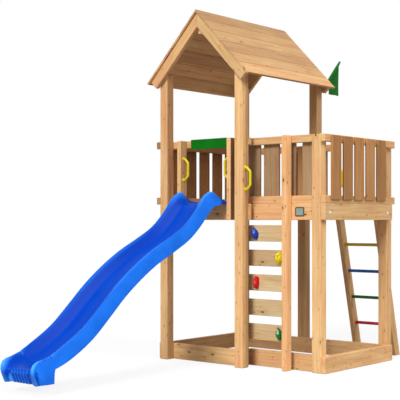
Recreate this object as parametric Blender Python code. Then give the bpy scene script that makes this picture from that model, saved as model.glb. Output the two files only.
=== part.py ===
"""Timber play tower with a gable roof, a balcony, a wavy slide, a climbing wall and a ladder.

Units are metres, +Z is up. X runs along the tower's front from left to right, and Y runs
from the front to the back. The origin is the middle of the foot of the outer board of the
front left post, which is two boards thick.
Every timber is planed a hair under its nominal size, so that neighbours stay clear.
"""

import math

import bmesh
import bpy
from mathutils import Vector

# Driving dimensions: timber
BOARD_T = 0.045            # thickness of planed structural timber
POST_W = 0.090             # side of a square post, and width of a narrow board
BEAM_H = 0.145             # height of a platform beam and of a base board
RAIL_H = 0.065             # height of a railing bar
SLAT_T = 0.020             # thickness of a railing slat
SLAT_W = 0.145             # width of a railing slat
PLANK_T = 0.028            # thickness of a climbing plank and of a deck board
DECK_BOARD_W = 0.140       # width of a deck board
DECK_GAP = 0.005           # gap between deck boards
JOIST_H = 0.090            # height of a joist under the deck
ARRIS = 0.004              # chamfer along the timber edges
PLANE_OFF = 0.00016        # taken off each face, so that two timbers keep 0.3 mm

# Driving dimensions: plan of the tower
TOWER_W = 0.974            # outside width over the two front posts
TOWER_D = 1.260            # from the front posts' face to the back of the roof posts
BALCONY_FRONT = 0.180      # front face of the balcony, behind the tower's front
BALCONY_RIGHT = 1.670      # right face of the balcony posts
BACK_STEP = 0.025          # the back beam stands this far behind the roof posts
BASE_START = 0.040         # the left base board starts this far behind the front
SIDE_PAST = 0.027          # the right side's boards end this far past the back beam
RAIL_SHORT = 0.018         # the right railing ends this far inside the back post's face

# Driving dimensions: heights
DECK_TOP = 1.445           # height of the platform
RAIL_RISE = 0.585          # top of the railings over the platform
LOWER_RAIL_RISE = 0.065    # top of the railings' lower bar over the platform
POST_RISE = 1.210          # square top of the roof posts over the platform

# Driving dimensions: slide entry
ENTRY_PANEL_LEFT = 0.165   # from the left front post to the entry's inner face
ENTRY_PANEL_RIGHT = 0.089  # the same on the right

# Driving dimensions: ladder
LADDER_W = 0.464           # width over the ladder rails
LADDER_GAP = 0.006         # between the ladder and the balcony's back post
LADDER_LEAN = math.radians(14.2)
LADDER_CUT = 0.035         # how far the rail would reach into the back beam at deck height
RUNG_D = 0.030
RUNG_COUNT = 4
TOP_RUNG_DROP = 0.381      # from the platform down to the highest rung
LOW_RUNG_Z = 0.297

# Driving dimensions: climbing wall
CLIMB_SETBACK = 0.064      # the left upright stands this far inside the tower's right face
CLIMB_RIGHT_STEP = 0.252   # from the right upright's left face to the balcony post
PLANK_SHORT = 0.020        # a plank ends this far inside the right upright's outer face
CLIMB_COUNT = 5            # planks
CLIMB_DROP = 0.045         # from the beam down to the highest plank
LOW_PLANK_TOP = 0.381

# Driving dimensions: railing slats
LEFT_SLAT_SKIP = 0.147     # open stretch behind the front left post
LEFT_SLAT_END = 0.017      # the last slat reaches this far over the back left post
RIGHT_SLAT_FRONT = 0.084   # open stretch at the front of the balcony's right railing
RIGHT_SLAT_BACK = 0.128    # and before its back post
BACK_SLAT_END = 0.0195     # open stretch beside the middle post
# Where each slat of the front railing starts and how wide it is, as shares of its length
FRONT_SLATS = ((0.008, 0.184), (0.243, 0.237), (0.525, 0.200), (0.820, 0.180))
SLAT_LOW = 0.027           # a slat stops this far above the lower bar's underside
SLAT_HIGH = 0.006          # and this far under the top bar's top

# Driving dimensions: roof
ROOF_ANGLE = math.radians(46.0)
ROOF_BOARDS = 6            # boards on each slope
ROOF_BOARD_T = 0.018
ROOF_GROOVE = 0.004        # depth of the V between two roof boards
ROOF_VERGE = 0.015         # deck beyond the outer faces of the rafters
EAVE = 0.160               # deck below the outer faces of the posts, along the slope
POST_HEAD_GAP = 0.0144     # between a post's outer top edge and the roof boards
RAFTER_H = 0.090
RAFTER_END = 0.030         # the rafter stops this far up from the eave
RIDGE_BEAM_DROP = 0.212    # from the ridge down to the ridge beam's underside

# Driving dimensions: flag
FLAG_DROP = 0.155          # from the post's top down to the foot of the staff
FLAG_STAFF_L = 0.540
FLAG_STAFF_R = 0.011
FLAG_SLOPE = math.radians(45.0)
FLAG_NEAR = 0.178          # from the post to the cloth's upright edges
FLAG_FAR = 0.370
FLAG_HEM = 0.040           # the hem is this far above the staff's foot
FLAG_T = 0.0022

# Driving dimensions: slide
SLIDE_SIDE_GAP = 0.0525    # between the slide's outer wall and an entry upright
SLIDE_ROLL = 0.042         # from the crest of a side wall out to its lower edge
SLIDE_BANK = 0.0675        # from the crest in to the flat of the trough
SLIDE_DEPTH = 0.090        # from the floor of the trough up to the crest
SLIDE_WALL = 0.0065        # thickness of the moulded wall
SLIDE_UNDER = 0.030        # outer wall below the floor of the trough
SLIDE_REACH = 2.095        # from the tower's front to the bend of the nose
SLIDE_NOSE_R = 0.040       # bend of the floor at the bottom end
SLIDE_NOSE_TURN = math.radians(114.0)    # past upright, so that the nose's face leans back
SLIDE_NOSE_Z = 0.085       # sole of the foot, and lower end of the nose's face
SLIDE_ROLL_R = 0.020       # round top of a side wall
SLIDE_RIBS = 6             # upright ribs on the face of the nose
SLIDE_RIB_H = 0.007
LIP_H = 0.020              # side walls at the lip on the platform, and at the nose's end
LIP_WIDEN = 0.020          # the lip is this much wider at its crests
EAR_H = 0.020              # the side walls stand this much higher beside the entry
EAR_Y = -0.100
RUN_OUT_H = 0.060          # side walls on the run-out
FOOT_L = 0.118             # sole of the outer wall behind the nose's face
FOOT_SLOPE = 0.026         # the foot's back reaches its full depth over this length
FOOT_FLARE = 0.08          # the foot spreads outwards by this share of its depth
# The floor's line below the entry, as shares of the reach and of the platform's height
SLIDE_LINE = (
    (0.071, 0.987),
    (0.136, 0.893),
    (0.210, 0.805),
    (0.305, 0.734),
    (0.412, 0.661),
    (0.506, 0.579),
    (0.592, 0.489),
    (0.678, 0.380),
    (0.764, 0.277),
    (0.860, 0.196),
    (0.926, 0.158),
    (0.943, 0.153),
    (0.988, 0.141),
    (1.000, 0.1375),
)

# Driving dimensions: grips
HANDLE_L = 0.195           # between the middles of a handle's two feet
HANDLE_OUT = 0.052         # how far a handle stands off its post
HANDLE_GRIP = 0.100        # straight part of a handle, between its slanting legs
HANDLE_R = 0.0125
HANDLE_FOOT_R = 0.021
HANDLE_FOOT_T = 0.006
ENTRY_HANDLE_RISE = 0.320  # middle of the grips beside the slide over the platform
CLIMB_HANDLE_RISE = 0.220
LADDER_HANDLE_RISE = 0.255
HOLD_W = 0.062
HOLD_H = 0.115
HOLD_D = 0.050

# Places worked out from the driving dimensions
SEAT = 0.0003              # clearance between pieces that rest on each other
RAIL_TOP = DECK_TOP + RAIL_RISE
RAIL_BOTTOM = RAIL_TOP - RAIL_H
LOWER_RAIL_TOP = DECK_TOP + LOWER_RAIL_RISE
LOWER_RAIL_BOTTOM = LOWER_RAIL_TOP - RAIL_H
BEAM_BOTTOM = DECK_TOP - BEAM_H
JOIST_TOP = DECK_TOP - PLANK_T
POST_TOP = DECK_TOP + POST_RISE
FRONT_RIGHT_X = TOWER_W - POST_W
TOWER_BACK = TOWER_D - POST_W
BACK_PLANE = TOWER_D + BACK_STEP
BACK_LINE = BACK_PLANE - BOARD_T
BALCONY_POST_X = BALCONY_RIGHT - POST_W
RAIL_LINE = BALCONY_FRONT + BOARD_T
ENTRY_LEFT = POST_W + ENTRY_PANEL_LEFT
ENTRY_RIGHT = FRONT_RIGHT_X - ENTRY_PANEL_RIGHT
ENTRY_HALF = (ENTRY_RIGHT - ENTRY_LEFT) / 2
SLIDE_MIDDLE = ENTRY_LEFT + ENTRY_HALF
SLIDE_SKIRT = ENTRY_HALF - SLIDE_SIDE_GAP
SLIDE_CREST = SLIDE_SKIRT - SLIDE_ROLL
SLIDE_FLOOR = SLIDE_CREST - SLIDE_BANK
LADDER_RIGHT = BALCONY_POST_X - LADDER_GAP
LADDER_LEFT = LADDER_RIGHT - LADDER_W
LADDER_FOOT_Y = BACK_PLANE - LADDER_CUT + DECK_TOP * math.tan(LADDER_LEAN)
RUNG_PITCH = (DECK_TOP - TOP_RUNG_DROP - LOW_RUNG_Z) / (RUNG_COUNT - 1)
MIDDLE_POST_X = 0.602 * LADDER_LEFT    # left face of the post in the back row
CLIMB_BACK_X = TOWER_W - CLIMB_SETBACK - BOARD_T
CLIMB_POST_X = BALCONY_POST_X - CLIMB_RIGHT_STEP
CLIMB_TOP = BEAM_BOTTOM - CLIMB_DROP
CLIMB_PITCH = (CLIMB_TOP - LOW_PLANK_TOP) / (CLIMB_COUNT - 1)
RIDGE_X = TOWER_W / 2
RIDGE_Z = (POST_TOP + POST_HEAD_GAP + (ROOF_BOARD_T + SEAT) / math.cos(ROOF_ANGLE)
           + RIDGE_X * math.tan(ROOF_ANGLE))
ROOF_BOARD_W = (RIDGE_X / math.cos(ROOF_ANGLE) + EAVE) / ROOF_BOARDS
FLAG_FOOT_Z = POST_TOP - FLAG_DROP

# Colours as they look, in sRGB hex
LARCH = "#E3B180"
LARCH_DARK = "#C8935E"
SLIDE_BLUE = "#0F5FE6"
YELLOW = "#E9CF12"
RED = "#D01F24"
GREEN = "#0C7A34"
BLUE = "#1F4FB4"


def linear(hex_colour):
    """The linear RGBA value of an sRGB hex colour."""
    values = [int(hex_colour[i:i + 2], 16) / 255 for i in (1, 3, 5)]
    return [v / 12.92 if v <= 0.04045 else ((v + 0.055) / 1.055) ** 2.4 for v in values] + [1.0]


def make_material(name, hex_colour, roughness):
    """A plain Principled material."""
    material = bpy.data.materials.new(name)
    material.use_nodes = True
    shader = material.node_tree.nodes["Principled BSDF"]
    shader.inputs["Base Color"].default_value = linear(hex_colour)
    shader.inputs["Roughness"].default_value = roughness
    shader.inputs["Metallic"].default_value = 0.0
    return material


def clear_scene():
    """Remove whatever objects the file holds."""
    for old in list(bpy.data.objects):
        bpy.data.objects.remove(old, do_unlink=True)


def add_object(name, mesh_data, material, parent, smooth_angle=None):
    """Turn a bmesh into a named object under the tower's origin."""
    bmesh.ops.recalc_face_normals(mesh_data, faces=mesh_data.faces[:])
    mesh = bpy.data.meshes.new(name)
    mesh_data.to_mesh(mesh)
    mesh_data.free()
    mesh.materials.append(material)
    if smooth_angle is not None:
        mesh.shade_smooth()
        mesh.set_sharp_from_angle(angle=smooth_angle)
    obj = bpy.data.objects.new(name, mesh)
    obj.parent = parent
    bpy.context.scene.collection.objects.link(obj)
    return obj


def box_into(target, low, high):
    """Add one planed timber, given by its nominal corners, to a bmesh."""
    low = Vector(low)
    high = Vector(high)
    foot = low.z
    low = low + Vector((PLANE_OFF,) * 3)
    high = high - Vector((PLANE_OFF,) * 3)
    if foot <= 0:
        low.z = foot
    made = bmesh.ops.create_cube(target, size=1.0)
    size = high - low
    middle = (low + high) / 2
    bmesh.ops.scale(target, vec=size, verts=made["verts"])
    bmesh.ops.translate(target, vec=middle, verts=made["verts"])


def chamfer(mesh_data, width=ARRIS):
    """Take the arris off every edge that is an outside corner."""
    edges = [e for e in mesh_data.edges if e.is_convex and e.calc_face_angle(0) > 0.5]
    bmesh.ops.bevel(mesh_data, geom=edges, offset=width, segments=1, profile=0.5,
                    affect="EDGES", material=-1)


def timber(name, low, high, material, parent):
    """One straight timber with chamfered edges."""
    mesh_data = bmesh.new()
    box_into(mesh_data, low, high)
    chamfer(mesh_data)
    return add_object(name, mesh_data, material, parent)


def prism(name, outline, axis, start, end, material, parent, edge=ARRIS):
    """Extrude an outline, listed in the two other axes, between two places on an axis."""
    mesh_data = bmesh.new()
    low = start + PLANE_OFF
    high = end - PLANE_OFF
    place = {"X": lambda a, b, c: (c, a, b), "Y": lambda a, b, c: (a, c, b)}[axis]
    verts = [mesh_data.verts.new(place(a, b, low)) for a, b in outline]
    face = mesh_data.faces.new(verts)
    moved = bmesh.ops.extrude_face_region(mesh_data, geom=[face])
    top = [item for item in moved["geom"] if isinstance(item, bmesh.types.BMVert)]
    bmesh.ops.translate(mesh_data, vec=Vector(place(0, 0, high - low)), verts=top)
    bmesh.ops.recalc_face_normals(mesh_data, faces=mesh_data.faces[:])
    if edge:
        chamfer(mesh_data, edge)
    return add_object(name, mesh_data, material, parent)


def union(obj, others):
    """Join pieces that are glued or screwed flat together into the first one."""
    for other in others:
        cut = obj.modifiers.new("join_" + other.name, "BOOLEAN")
        cut.operation = "UNION"
        cut.solver = "EXACT"
        cut.object = other
        other.hide_render = True
        other.display_type = "WIRE"


def build_posts(wood, parent):
    """The square posts and the thinner uprights."""
    right_x = FRONT_RIGHT_X
    split = BOARD_T
    for side, x in (("left", 0.0), ("right", right_x)):
        timber(f"post_front_{side}_outer", (x, 0, 0), (x + POST_W, split, POST_TOP), wood, parent)
        timber(f"post_front_{side}_inner", (x, split, 0),
               (x + POST_W, POST_W, POST_TOP), wood, parent)
    timber("post_back_left", (0, TOWER_BACK, 0), (POST_W, TOWER_D, POST_TOP), wood, parent)
    timber("post_back_right", (right_x, TOWER_BACK, DECK_TOP),
           (TOWER_W, TOWER_D, POST_TOP), wood, parent)
    timber("post_back_middle", (MIDDLE_POST_X, BACK_PLANE, 0),
           (MIDDLE_POST_X + POST_W, BACK_PLANE + POST_W, RAIL_TOP), wood, parent)
    timber("post_balcony_front", (BALCONY_POST_X, BALCONY_FRONT, 0),
           (BALCONY_RIGHT, BALCONY_FRONT + POST_W, RAIL_TOP), wood, parent)
    timber("post_balcony_back", (BALCONY_POST_X, BACK_PLANE, 0),
           (BALCONY_RIGHT, BACK_PLANE + POST_W, RAIL_TOP), wood, parent)
    timber("climbing_upright_left", (CLIMB_BACK_X, POST_W, 0),
           (CLIMB_BACK_X + BOARD_T, BALCONY_FRONT, BEAM_BOTTOM), wood, parent)
    timber("climbing_upright_right", (CLIMB_POST_X, BALCONY_FRONT - POST_W, 0),
           (CLIMB_POST_X + BOARD_T, BALCONY_FRONT, RAIL_TOP), wood, parent)
    for side, x in (("left", ENTRY_LEFT - BOARD_T), ("right", ENTRY_RIGHT)):
        timber(f"slide_upright_{side}", (x, 0, BEAM_BOTTOM),
               (x + BOARD_T, POST_W, RAIL_TOP), wood, parent)
    timber("ladder_upright", (LADDER_LEFT - BOARD_T, BACK_PLANE, BEAM_BOTTOM),
           (LADDER_LEFT, BACK_PLANE + POST_W, RAIL_TOP), wood, parent)


def build_base(wood, parent):
    """The boards on edge that tie the feet together and close the sandpit."""
    right = BALCONY_RIGHT
    timber("base_board_front", (0, POST_W, 0), (CLIMB_BACK_X, POST_W + BOARD_T, BEAM_H), wood, parent)
    timber("base_board_balcony", (CLIMB_BACK_X, RAIL_LINE, 0),
           (BALCONY_POST_X, RAIL_LINE + BOARD_T, BEAM_H), wood, parent)
    timber("base_board_left", (-BOARD_T, BASE_START, 0), (0, BACK_PLANE, BEAM_H), wood, parent)
    timber("base_board_back", (POST_W, BACK_LINE, 0), (right, BACK_PLANE, BEAM_H), wood, parent)
    timber("base_board_right", (right, BALCONY_FRONT, 0),
           (right + BOARD_T, BACK_PLANE + SIDE_PAST, BEAM_H), wood, parent)


def build_platform(wood, parent):
    """The beams round the platform, and the deck on its joists."""
    right = BALCONY_RIGHT
    top = DECK_TOP
    low = BEAM_BOTTOM
    timber("beam_front", (0, POST_W, low), (TOWER_W, POST_W + BOARD_T, top), wood, parent)
    timber("beam_balcony", (CLIMB_BACK_X, BALCONY_FRONT, low),
           (BALCONY_POST_X, RAIL_LINE, top), wood, parent)
    timber("beam_left", (0, POST_W + BOARD_T, low), (BOARD_T, TOWER_BACK, top), wood, parent)
    timber("beam_back", (POST_W, BACK_LINE, low), (right, BACK_PLANE, top), wood, parent)
    timber("beam_right", (right, BALCONY_FRONT, low),
           (right + BOARD_T, BACK_PLANE + SIDE_PAST, top), wood, parent)
    build_deck(wood, parent)


def build_deck(wood, parent):
    """The deck boards, which are one piece with the joists that carry them."""
    bite = 0.002           # the boards sink this far into the joists
    start = RAIL_LINE
    pitch = DECK_BOARD_W + DECK_GAP
    rows = math.ceil((BACK_LINE - start - DECK_GAP) / pitch)
    front = POST_W + BOARD_T
    joists = (
        (BOARD_T, front, TOWER_BACK),
        (TOWER_W / 2 - BOARD_T / 2, front, BACK_LINE),
        (TOWER_W, RAIL_LINE, BACK_LINE),
        (BALCONY_POST_X - BOARD_T, RAIL_LINE, BACK_LINE),
    )
    first = timber("platform_deck", (BOARD_T, start, JOIST_TOP - bite),
                   (BALCONY_POST_X, start + DECK_BOARD_W, DECK_TOP), wood, parent)
    parts = []
    for row in range(1, rows):
        y = start + row * pitch
        left = BOARD_T if y + DECK_BOARD_W < TOWER_BACK else POST_W
        end = min(y + DECK_BOARD_W, BACK_LINE - SEAT)
        parts.append(timber(f"deck_board_{row}", (left, y, JOIST_TOP - bite),
                            (BALCONY_RIGHT, end, DECK_TOP), wood, parent))
    parts.append(timber("deck_board_front", (BOARD_T, front, JOIST_TOP - bite),
                        (CLIMB_BACK_X, start - DECK_GAP, DECK_TOP), wood, parent))
    for number, (x, y0, y1) in enumerate(joists):
        parts.append(timber(f"joist_{number}", (x, y0, JOIST_TOP - JOIST_H),
                            (x + BOARD_T, y1, JOIST_TOP), wood, parent))
    union(first, parts)


def build_railing(name, along, start, end, line, out, slats, wood, parent):
    """Two bars along X or Y with slats on their outer side, as one assembled panel.

    line is the inner face of the bars, out is +1 or -1 for the side that faces outwards,
    and slats lists where each slat starts and how wide it is.
    """
    def place(a0, a1, b0, b1, z0, z1):
        """Corners of a timber from its run, its depth and its height."""
        b0, b1 = min(b0, b1), max(b0, b1)
        if along == "X":
            return (a0, b0, z0), (a1, b1, z1)
        return (b0, a0, z0), (b1, a1, z1)

    far = line + out * BOARD_T
    skin = far + out * SLAT_T
    low, high = place(start, end, line, far, RAIL_BOTTOM, RAIL_TOP)
    top = timber(name, low, high, wood, parent)
    low, high = place(start, end, line, far, LOWER_RAIL_BOTTOM, LOWER_RAIL_TOP)
    parts = [timber(name + "_lower_bar", low, high, wood, parent)]
    bite = 2 * PLANE_OFF + 0.0006
    for number, (at, width) in enumerate(slats):
        low, high = place(at, at + width, far - out * bite, skin,
                          LOWER_RAIL_BOTTOM + SLAT_LOW, RAIL_TOP - SLAT_HIGH)
        parts.append(timber(f"{name}_slat_{number}", low, high, wood, parent))
    union(top, parts)


def spread(start, end, count, width=SLAT_W):
    """Slats of one width with even gaps, the first at start and the last up to end."""
    pitch = (end - width - start) / (count - 1)
    return [(start + pitch * i, width) for i in range(count)]


def build_railings(wood, parent):
    """The five railings and the bar over the slide entry."""
    middle_end = MIDDLE_POST_X + POST_W
    ladder_start = LADDER_LEFT - BOARD_T
    balcony_back = BACK_PLANE + POST_W - RAIL_SHORT
    left_slats = spread(POST_W + LEFT_SLAT_SKIP, TOWER_BACK + LEFT_SLAT_END, 5)
    right_slats = spread(BALCONY_FRONT + RIGHT_SLAT_FRONT, BACK_PLANE - RIGHT_SLAT_BACK, 5)
    back_slats = spread(POST_W / 2, MIDDLE_POST_X - BACK_SLAT_END, 3)
    single_slat = [((middle_end + ladder_start - SLAT_W) / 2, SLAT_W)]
    front_length = BALCONY_POST_X - CLIMB_BACK_X
    front_slats = [(CLIMB_BACK_X + front_length * at, front_length * wide) for at, wide in FRONT_SLATS]
    build_railing("railing_left", "Y", 0.0, TOWER_D, 0.0, -1, left_slats, wood, parent)
    build_railing("railing_right", "Y", BALCONY_FRONT, balcony_back, BALCONY_RIGHT, 1,
                  right_slats, wood, parent)
    build_railing("railing_back_left", "X", 0.0, MIDDLE_POST_X, TOWER_D, 1, back_slats, wood, parent)
    build_railing("railing_back_right", "X", middle_end, ladder_start, BACK_PLANE, 1,
                  single_slat, wood, parent)
    build_railing("railing_front", "X", CLIMB_BACK_X, BALCONY_POST_X, BALCONY_FRONT, 1,
                  front_slats, wood, parent)
    timber("entry_bar", (0, POST_W, RAIL_BOTTOM), (TOWER_W, POST_W + BOARD_T, RAIL_TOP), wood, parent)


def build_climbing_wall(wood, parent):
    """Planks between the two climbing uprights, the highest one first."""
    for number in range(CLIMB_COUNT):
        top = CLIMB_TOP - number * CLIMB_PITCH
        timber(f"climbing_plank_{number + 1}", (CLIMB_BACK_X, BALCONY_FRONT, top - BEAM_H),
               (CLIMB_POST_X + BOARD_T - PLANK_SHORT, BALCONY_FRONT + PLANK_T, top), wood, parent)


def hold_mesh(turn, lean):
    """A lump of moulded plastic: pointed above, full below, with a finger scoop, flat behind."""
    mesh_data = bmesh.new()
    bmesh.ops.create_uvsphere(mesh_data, u_segments=14, v_segments=9, radius=1.0)
    narrowing = 0.38
    scoop_depth = 0.22
    scoop_height = 0.35
    swelling = 0.10
    for vert in mesh_data.verts:
        x, y, z = vert.co
        taper = 1.0 - narrowing * max(z, -0.4)
        scoop = scoop_depth * math.exp(-((z - scoop_height) ** 2) / 0.06)
        depth = max(-y, -0.12) * (1.0 - scoop)
        swell = 1.0 + swelling * math.cos(3 * math.atan2(z, x) + turn)
        across = x * taper * swell * HOLD_W / 2 + lean * z * HOLD_W / 4
        vert.co = (across, -depth * HOLD_D, z * HOLD_H / 2)
    whole = mesh_data.verts[:] + mesh_data.edges[:] + mesh_data.faces[:]
    back = bmesh.ops.bisect_plane(mesh_data, geom=whole, plane_co=(0, -SEAT, 0), plane_no=(0, 1, 0),
                                  clear_outer=True)
    rim = [e for e in back["geom_cut"] if isinstance(e, bmesh.types.BMEdge)]
    bmesh.ops.holes_fill(mesh_data, edges=rim, sides=0)
    return mesh_data


def build_holds(materials, parent):
    """Four climbing holds, each on its plank: colour, plank, place along it and outline."""
    holds = (
        ("blue", 0, CLIMB_BACK_X + 0.120, 0.2),
        ("yellow", 1, CLIMB_POST_X - 0.085, 2.1),
        ("red", 2, CLIMB_BACK_X + 0.140, 3.9),
        ("green", 4, CLIMB_POST_X - 0.080, 5.2),
    )
    for colour, plank, x, turn in holds:
        middle = CLIMB_TOP - plank * CLIMB_PITCH - BEAM_H / 2
        lean = 0.6 * math.cos(turn)
        obj = add_object(f"climbing_hold_{colour}", hold_mesh(turn, lean), materials[colour],
                         parent, math.radians(50))
        obj.location = (x, BALCONY_FRONT, middle)


def sweep_rings(mesh_data, rings):
    """Join rings of points into one closed skin with capped ends."""
    rows = [[mesh_data.verts.new(p) for p in ring] for ring in rings]
    count = len(rows[0])
    for a, b in zip(rows, rows[1:]):
        for i in range(count):
            j = (i + 1) % count
            mesh_data.faces.new((a[i], a[j], b[j], b[i]))
    mesh_data.faces.new(rows[0])
    mesh_data.faces.new(list(reversed(rows[-1])))


def handle_mesh():
    """A bowed grip along Z that stands off the face X = 0, with a round flange at each end."""
    sides = 10
    half = HANDLE_L / 2
    grip = HANDLE_GRIP / 2
    neck = HANDLE_FOOT_T + 0.004
    knee = 0.010
    bends = (
        (neck, -half, 0.0),
        (neck + knee, -half + 0.4 * knee, 0.25 * math.pi),
        (HANDLE_OUT - knee, -grip - knee, 0.25 * math.pi),
        (HANDLE_OUT - 0.2 * knee, -grip, 0.40 * math.pi),
        (HANDLE_OUT, -grip + knee, 0.50 * math.pi),
    )
    stations = [(0.0, -half, 0.0, HANDLE_FOOT_R), (HANDLE_FOOT_T, -half, 0.0, HANDLE_FOOT_R)]
    stations += [(out, up, angle, HANDLE_R) for out, up, angle in bends]
    mirrored = [(out, -up, math.pi - angle, radius) for out, up, angle, radius in reversed(stations)]
    rings = []
    for out, up, angle, radius in stations + mirrored:
        across = Vector((math.sin(angle), 0, -math.cos(angle)))
        centre = Vector((out + SEAT, 0, up))
        ring = []
        for i in range(sides):
            turn = 2 * math.pi * i / sides
            sideways = Vector((0, radius * math.sin(turn), 0))
            ring.append(centre + across * (radius * math.cos(turn)) + sideways)
        rings.append(ring)
    mesh_data = bmesh.new()
    sweep_rings(mesh_data, rings)
    return mesh_data


def build_handles(yellow, parent):
    """Grips beside the slide entry, on the front right post and beside the ladder."""
    post_middle = POST_W / 2
    entry_z = DECK_TOP + ENTRY_HANDLE_RISE
    climb_z = DECK_TOP + CLIMB_HANDLE_RISE
    ladder_z = DECK_TOP + LADDER_HANDLE_RISE
    places = (
        ("handle_slide_left", (ENTRY_LEFT, post_middle, entry_z), 0),
        ("handle_slide_right", (ENTRY_RIGHT, post_middle, entry_z), math.pi),
        ("handle_climbing", (TOWER_W, post_middle, climb_z), 0),
        ("handle_ladder", (LADDER_LEFT, BACK_PLANE + post_middle, ladder_z), 0),
    )
    for name, location, turn in places:
        obj = add_object(name, handle_mesh(), yellow, parent, math.radians(40))
        obj.location = location
        obj.rotation_euler = (0, 0, turn)


def build_ladder(wood, materials, parent):
    """Two leaning rails cut to the back beam, with round rungs between them."""
    lean = math.tan(LADDER_LEAN)
    depth = POST_W / math.cos(LADDER_LEAN)
    face = BACK_PLANE + SEAT
    meet = (LADDER_FOOT_Y - face) / lean
    outline = [
        (LADDER_FOOT_Y, 0.0),
        (LADDER_FOOT_Y + depth, 0.0),
        (LADDER_FOOT_Y + depth - DECK_TOP * lean, DECK_TOP),
        (face, DECK_TOP),
        (face, meet),
    ]
    for side, x in (("left", LADDER_LEFT), ("right", LADDER_RIGHT - BOARD_T)):
        prism(f"ladder_rail_{side}", outline, "X", x, x + BOARD_T, wood, parent)
    span = LADDER_W - 2 * BOARD_T - 2 * SEAT
    colours = ("yellow", "blue", "green", "red")
    for number in range(RUNG_COUNT):
        z = DECK_TOP - TOP_RUNG_DROP - number * RUNG_PITCH
        colour = colours[number]
        rung = bmesh.new()
        bmesh.ops.create_cone(rung, cap_ends=True, segments=20, radius1=RUNG_D / 2,
                              radius2=RUNG_D / 2, depth=span)
        obj = add_object(f"ladder_rung_{colour}", rung, materials[colour], parent, math.radians(40))
        obj.rotation_euler = (0, math.pi / 2, 0)
        obj.location = (LADDER_LEFT + LADDER_W / 2, LADDER_FOOT_Y + depth / 2 - z * lean, z)


def slope_point(side, down, under):
    """A point on a roof slope: down from the ridge, and under the deck's top surface."""
    x = down * math.cos(ROOF_ANGLE) - under * math.sin(ROOF_ANGLE)
    z = RIDGE_Z - down * math.sin(ROOF_ANGLE) - under * math.cos(ROOF_ANGLE)
    return RIDGE_X + side * x, z


def plumb_point(side, under, off):
    """Where a surface under the deck meets the upright cut beside the ridge."""
    return RIDGE_X + side * off, RIDGE_Z - under / math.cos(ROOF_ANGLE) - off * math.tan(ROOF_ANGLE)


def build_roof(wood, parent):
    """Rafters on the faces of the posts, the boarded slopes and the ridge beam."""
    length = ROOF_BOARDS * ROOF_BOARD_W
    front = -BOARD_T
    back = TOWER_D + BOARD_T
    under = ROOF_BOARD_T + SEAT
    for side, word in ((-1, "left"), (1, "right")):
        outline = [
            plumb_point(side, under, SEAT / 2),
            slope_point(side, length - RAFTER_END, under),
            slope_point(side, length - RAFTER_END, under + RAFTER_H),
            plumb_point(side, under + RAFTER_H, SEAT / 2),
        ]
        prism(f"rafter_front_{word}", outline, "Y", front, 0.0, wood, parent)
        prism(f"rafter_back_{word}", outline, "Y", TOWER_D, back, wood, parent)
        prism(f"roof_boards_{word}", roof_outline(side, length), "Y", front - ROOF_VERGE, back + ROOF_VERGE,
              wood, parent, 0)
    half = BOARD_T / 2
    beam_z = RIDGE_Z - RIDGE_BEAM_DROP
    timber("ridge_beam", (RIDGE_X - half, 0, beam_z), (RIDGE_X + half, TOWER_D, beam_z + POST_W),
           wood, parent)


def roof_outline(side, length):
    """The edge view of one slope: boards with a V groove on top and a step below at each joint."""
    points = [plumb_point(side, 0.0, SEAT / 2)]
    for number in range(1, ROOF_BOARDS):
        joint = number * ROOF_BOARD_W
        points.append(slope_point(side, joint - ROOF_GROOVE, 0.0))
        points.append(slope_point(side, joint, ROOF_GROOVE))
        points.append(slope_point(side, joint + ROOF_GROOVE, 0.0))
    points.append(slope_point(side, length, 0.0))
    points.append(slope_point(side, length, ROOF_BOARD_T))
    for number in range(ROOF_BOARDS - 1, 0, -1):
        joint = number * ROOF_BOARD_W
        points.append(slope_point(side, joint + ROOF_GROOVE, ROOF_BOARD_T))
        points.append(slope_point(side, joint, ROOF_BOARD_T - ROOF_GROOVE))
        points.append(slope_point(side, joint - ROOF_GROOVE, ROOF_BOARD_T))
    points.append(plumb_point(side, ROOF_BOARD_T, SEAT / 2))
    return points


def build_flag(materials, parent):
    """A slanting staff on the back right post, with a small cloth flag under it."""
    x = TOWER_W - POST_W / 2
    face = TOWER_D + SEAT
    foot = Vector((x, face + FLAG_STAFF_R * math.cos(FLAG_SLOPE), FLAG_FOOT_Z))
    along = Vector((0, math.cos(FLAG_SLOPE), math.sin(FLAG_SLOPE)))
    up = Vector((0, -math.sin(FLAG_SLOPE), math.cos(FLAG_SLOPE)))
    sides = 12
    rings = []
    for distance in (0.0, FLAG_STAFF_L):
        ring = []
        for i in range(sides):
            turn = 2 * math.pi * i / sides
            sideways = Vector((FLAG_STAFF_R * math.sin(turn), 0, 0))
            point = foot + along * distance + up * (FLAG_STAFF_R * math.cos(turn)) + sideways
            if distance == 0.0:
                point = point + along * ((face - point.y) / along.y)
            ring.append(point)
        rings.append(ring)
    staff = bmesh.new()
    sweep_rings(staff, rings)
    add_object("flag_staff", staff, materials["green"], parent, math.radians(40))
    add_object("flag_cloth", flag_mesh(foot), materials["green"], parent, math.radians(60))


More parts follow.
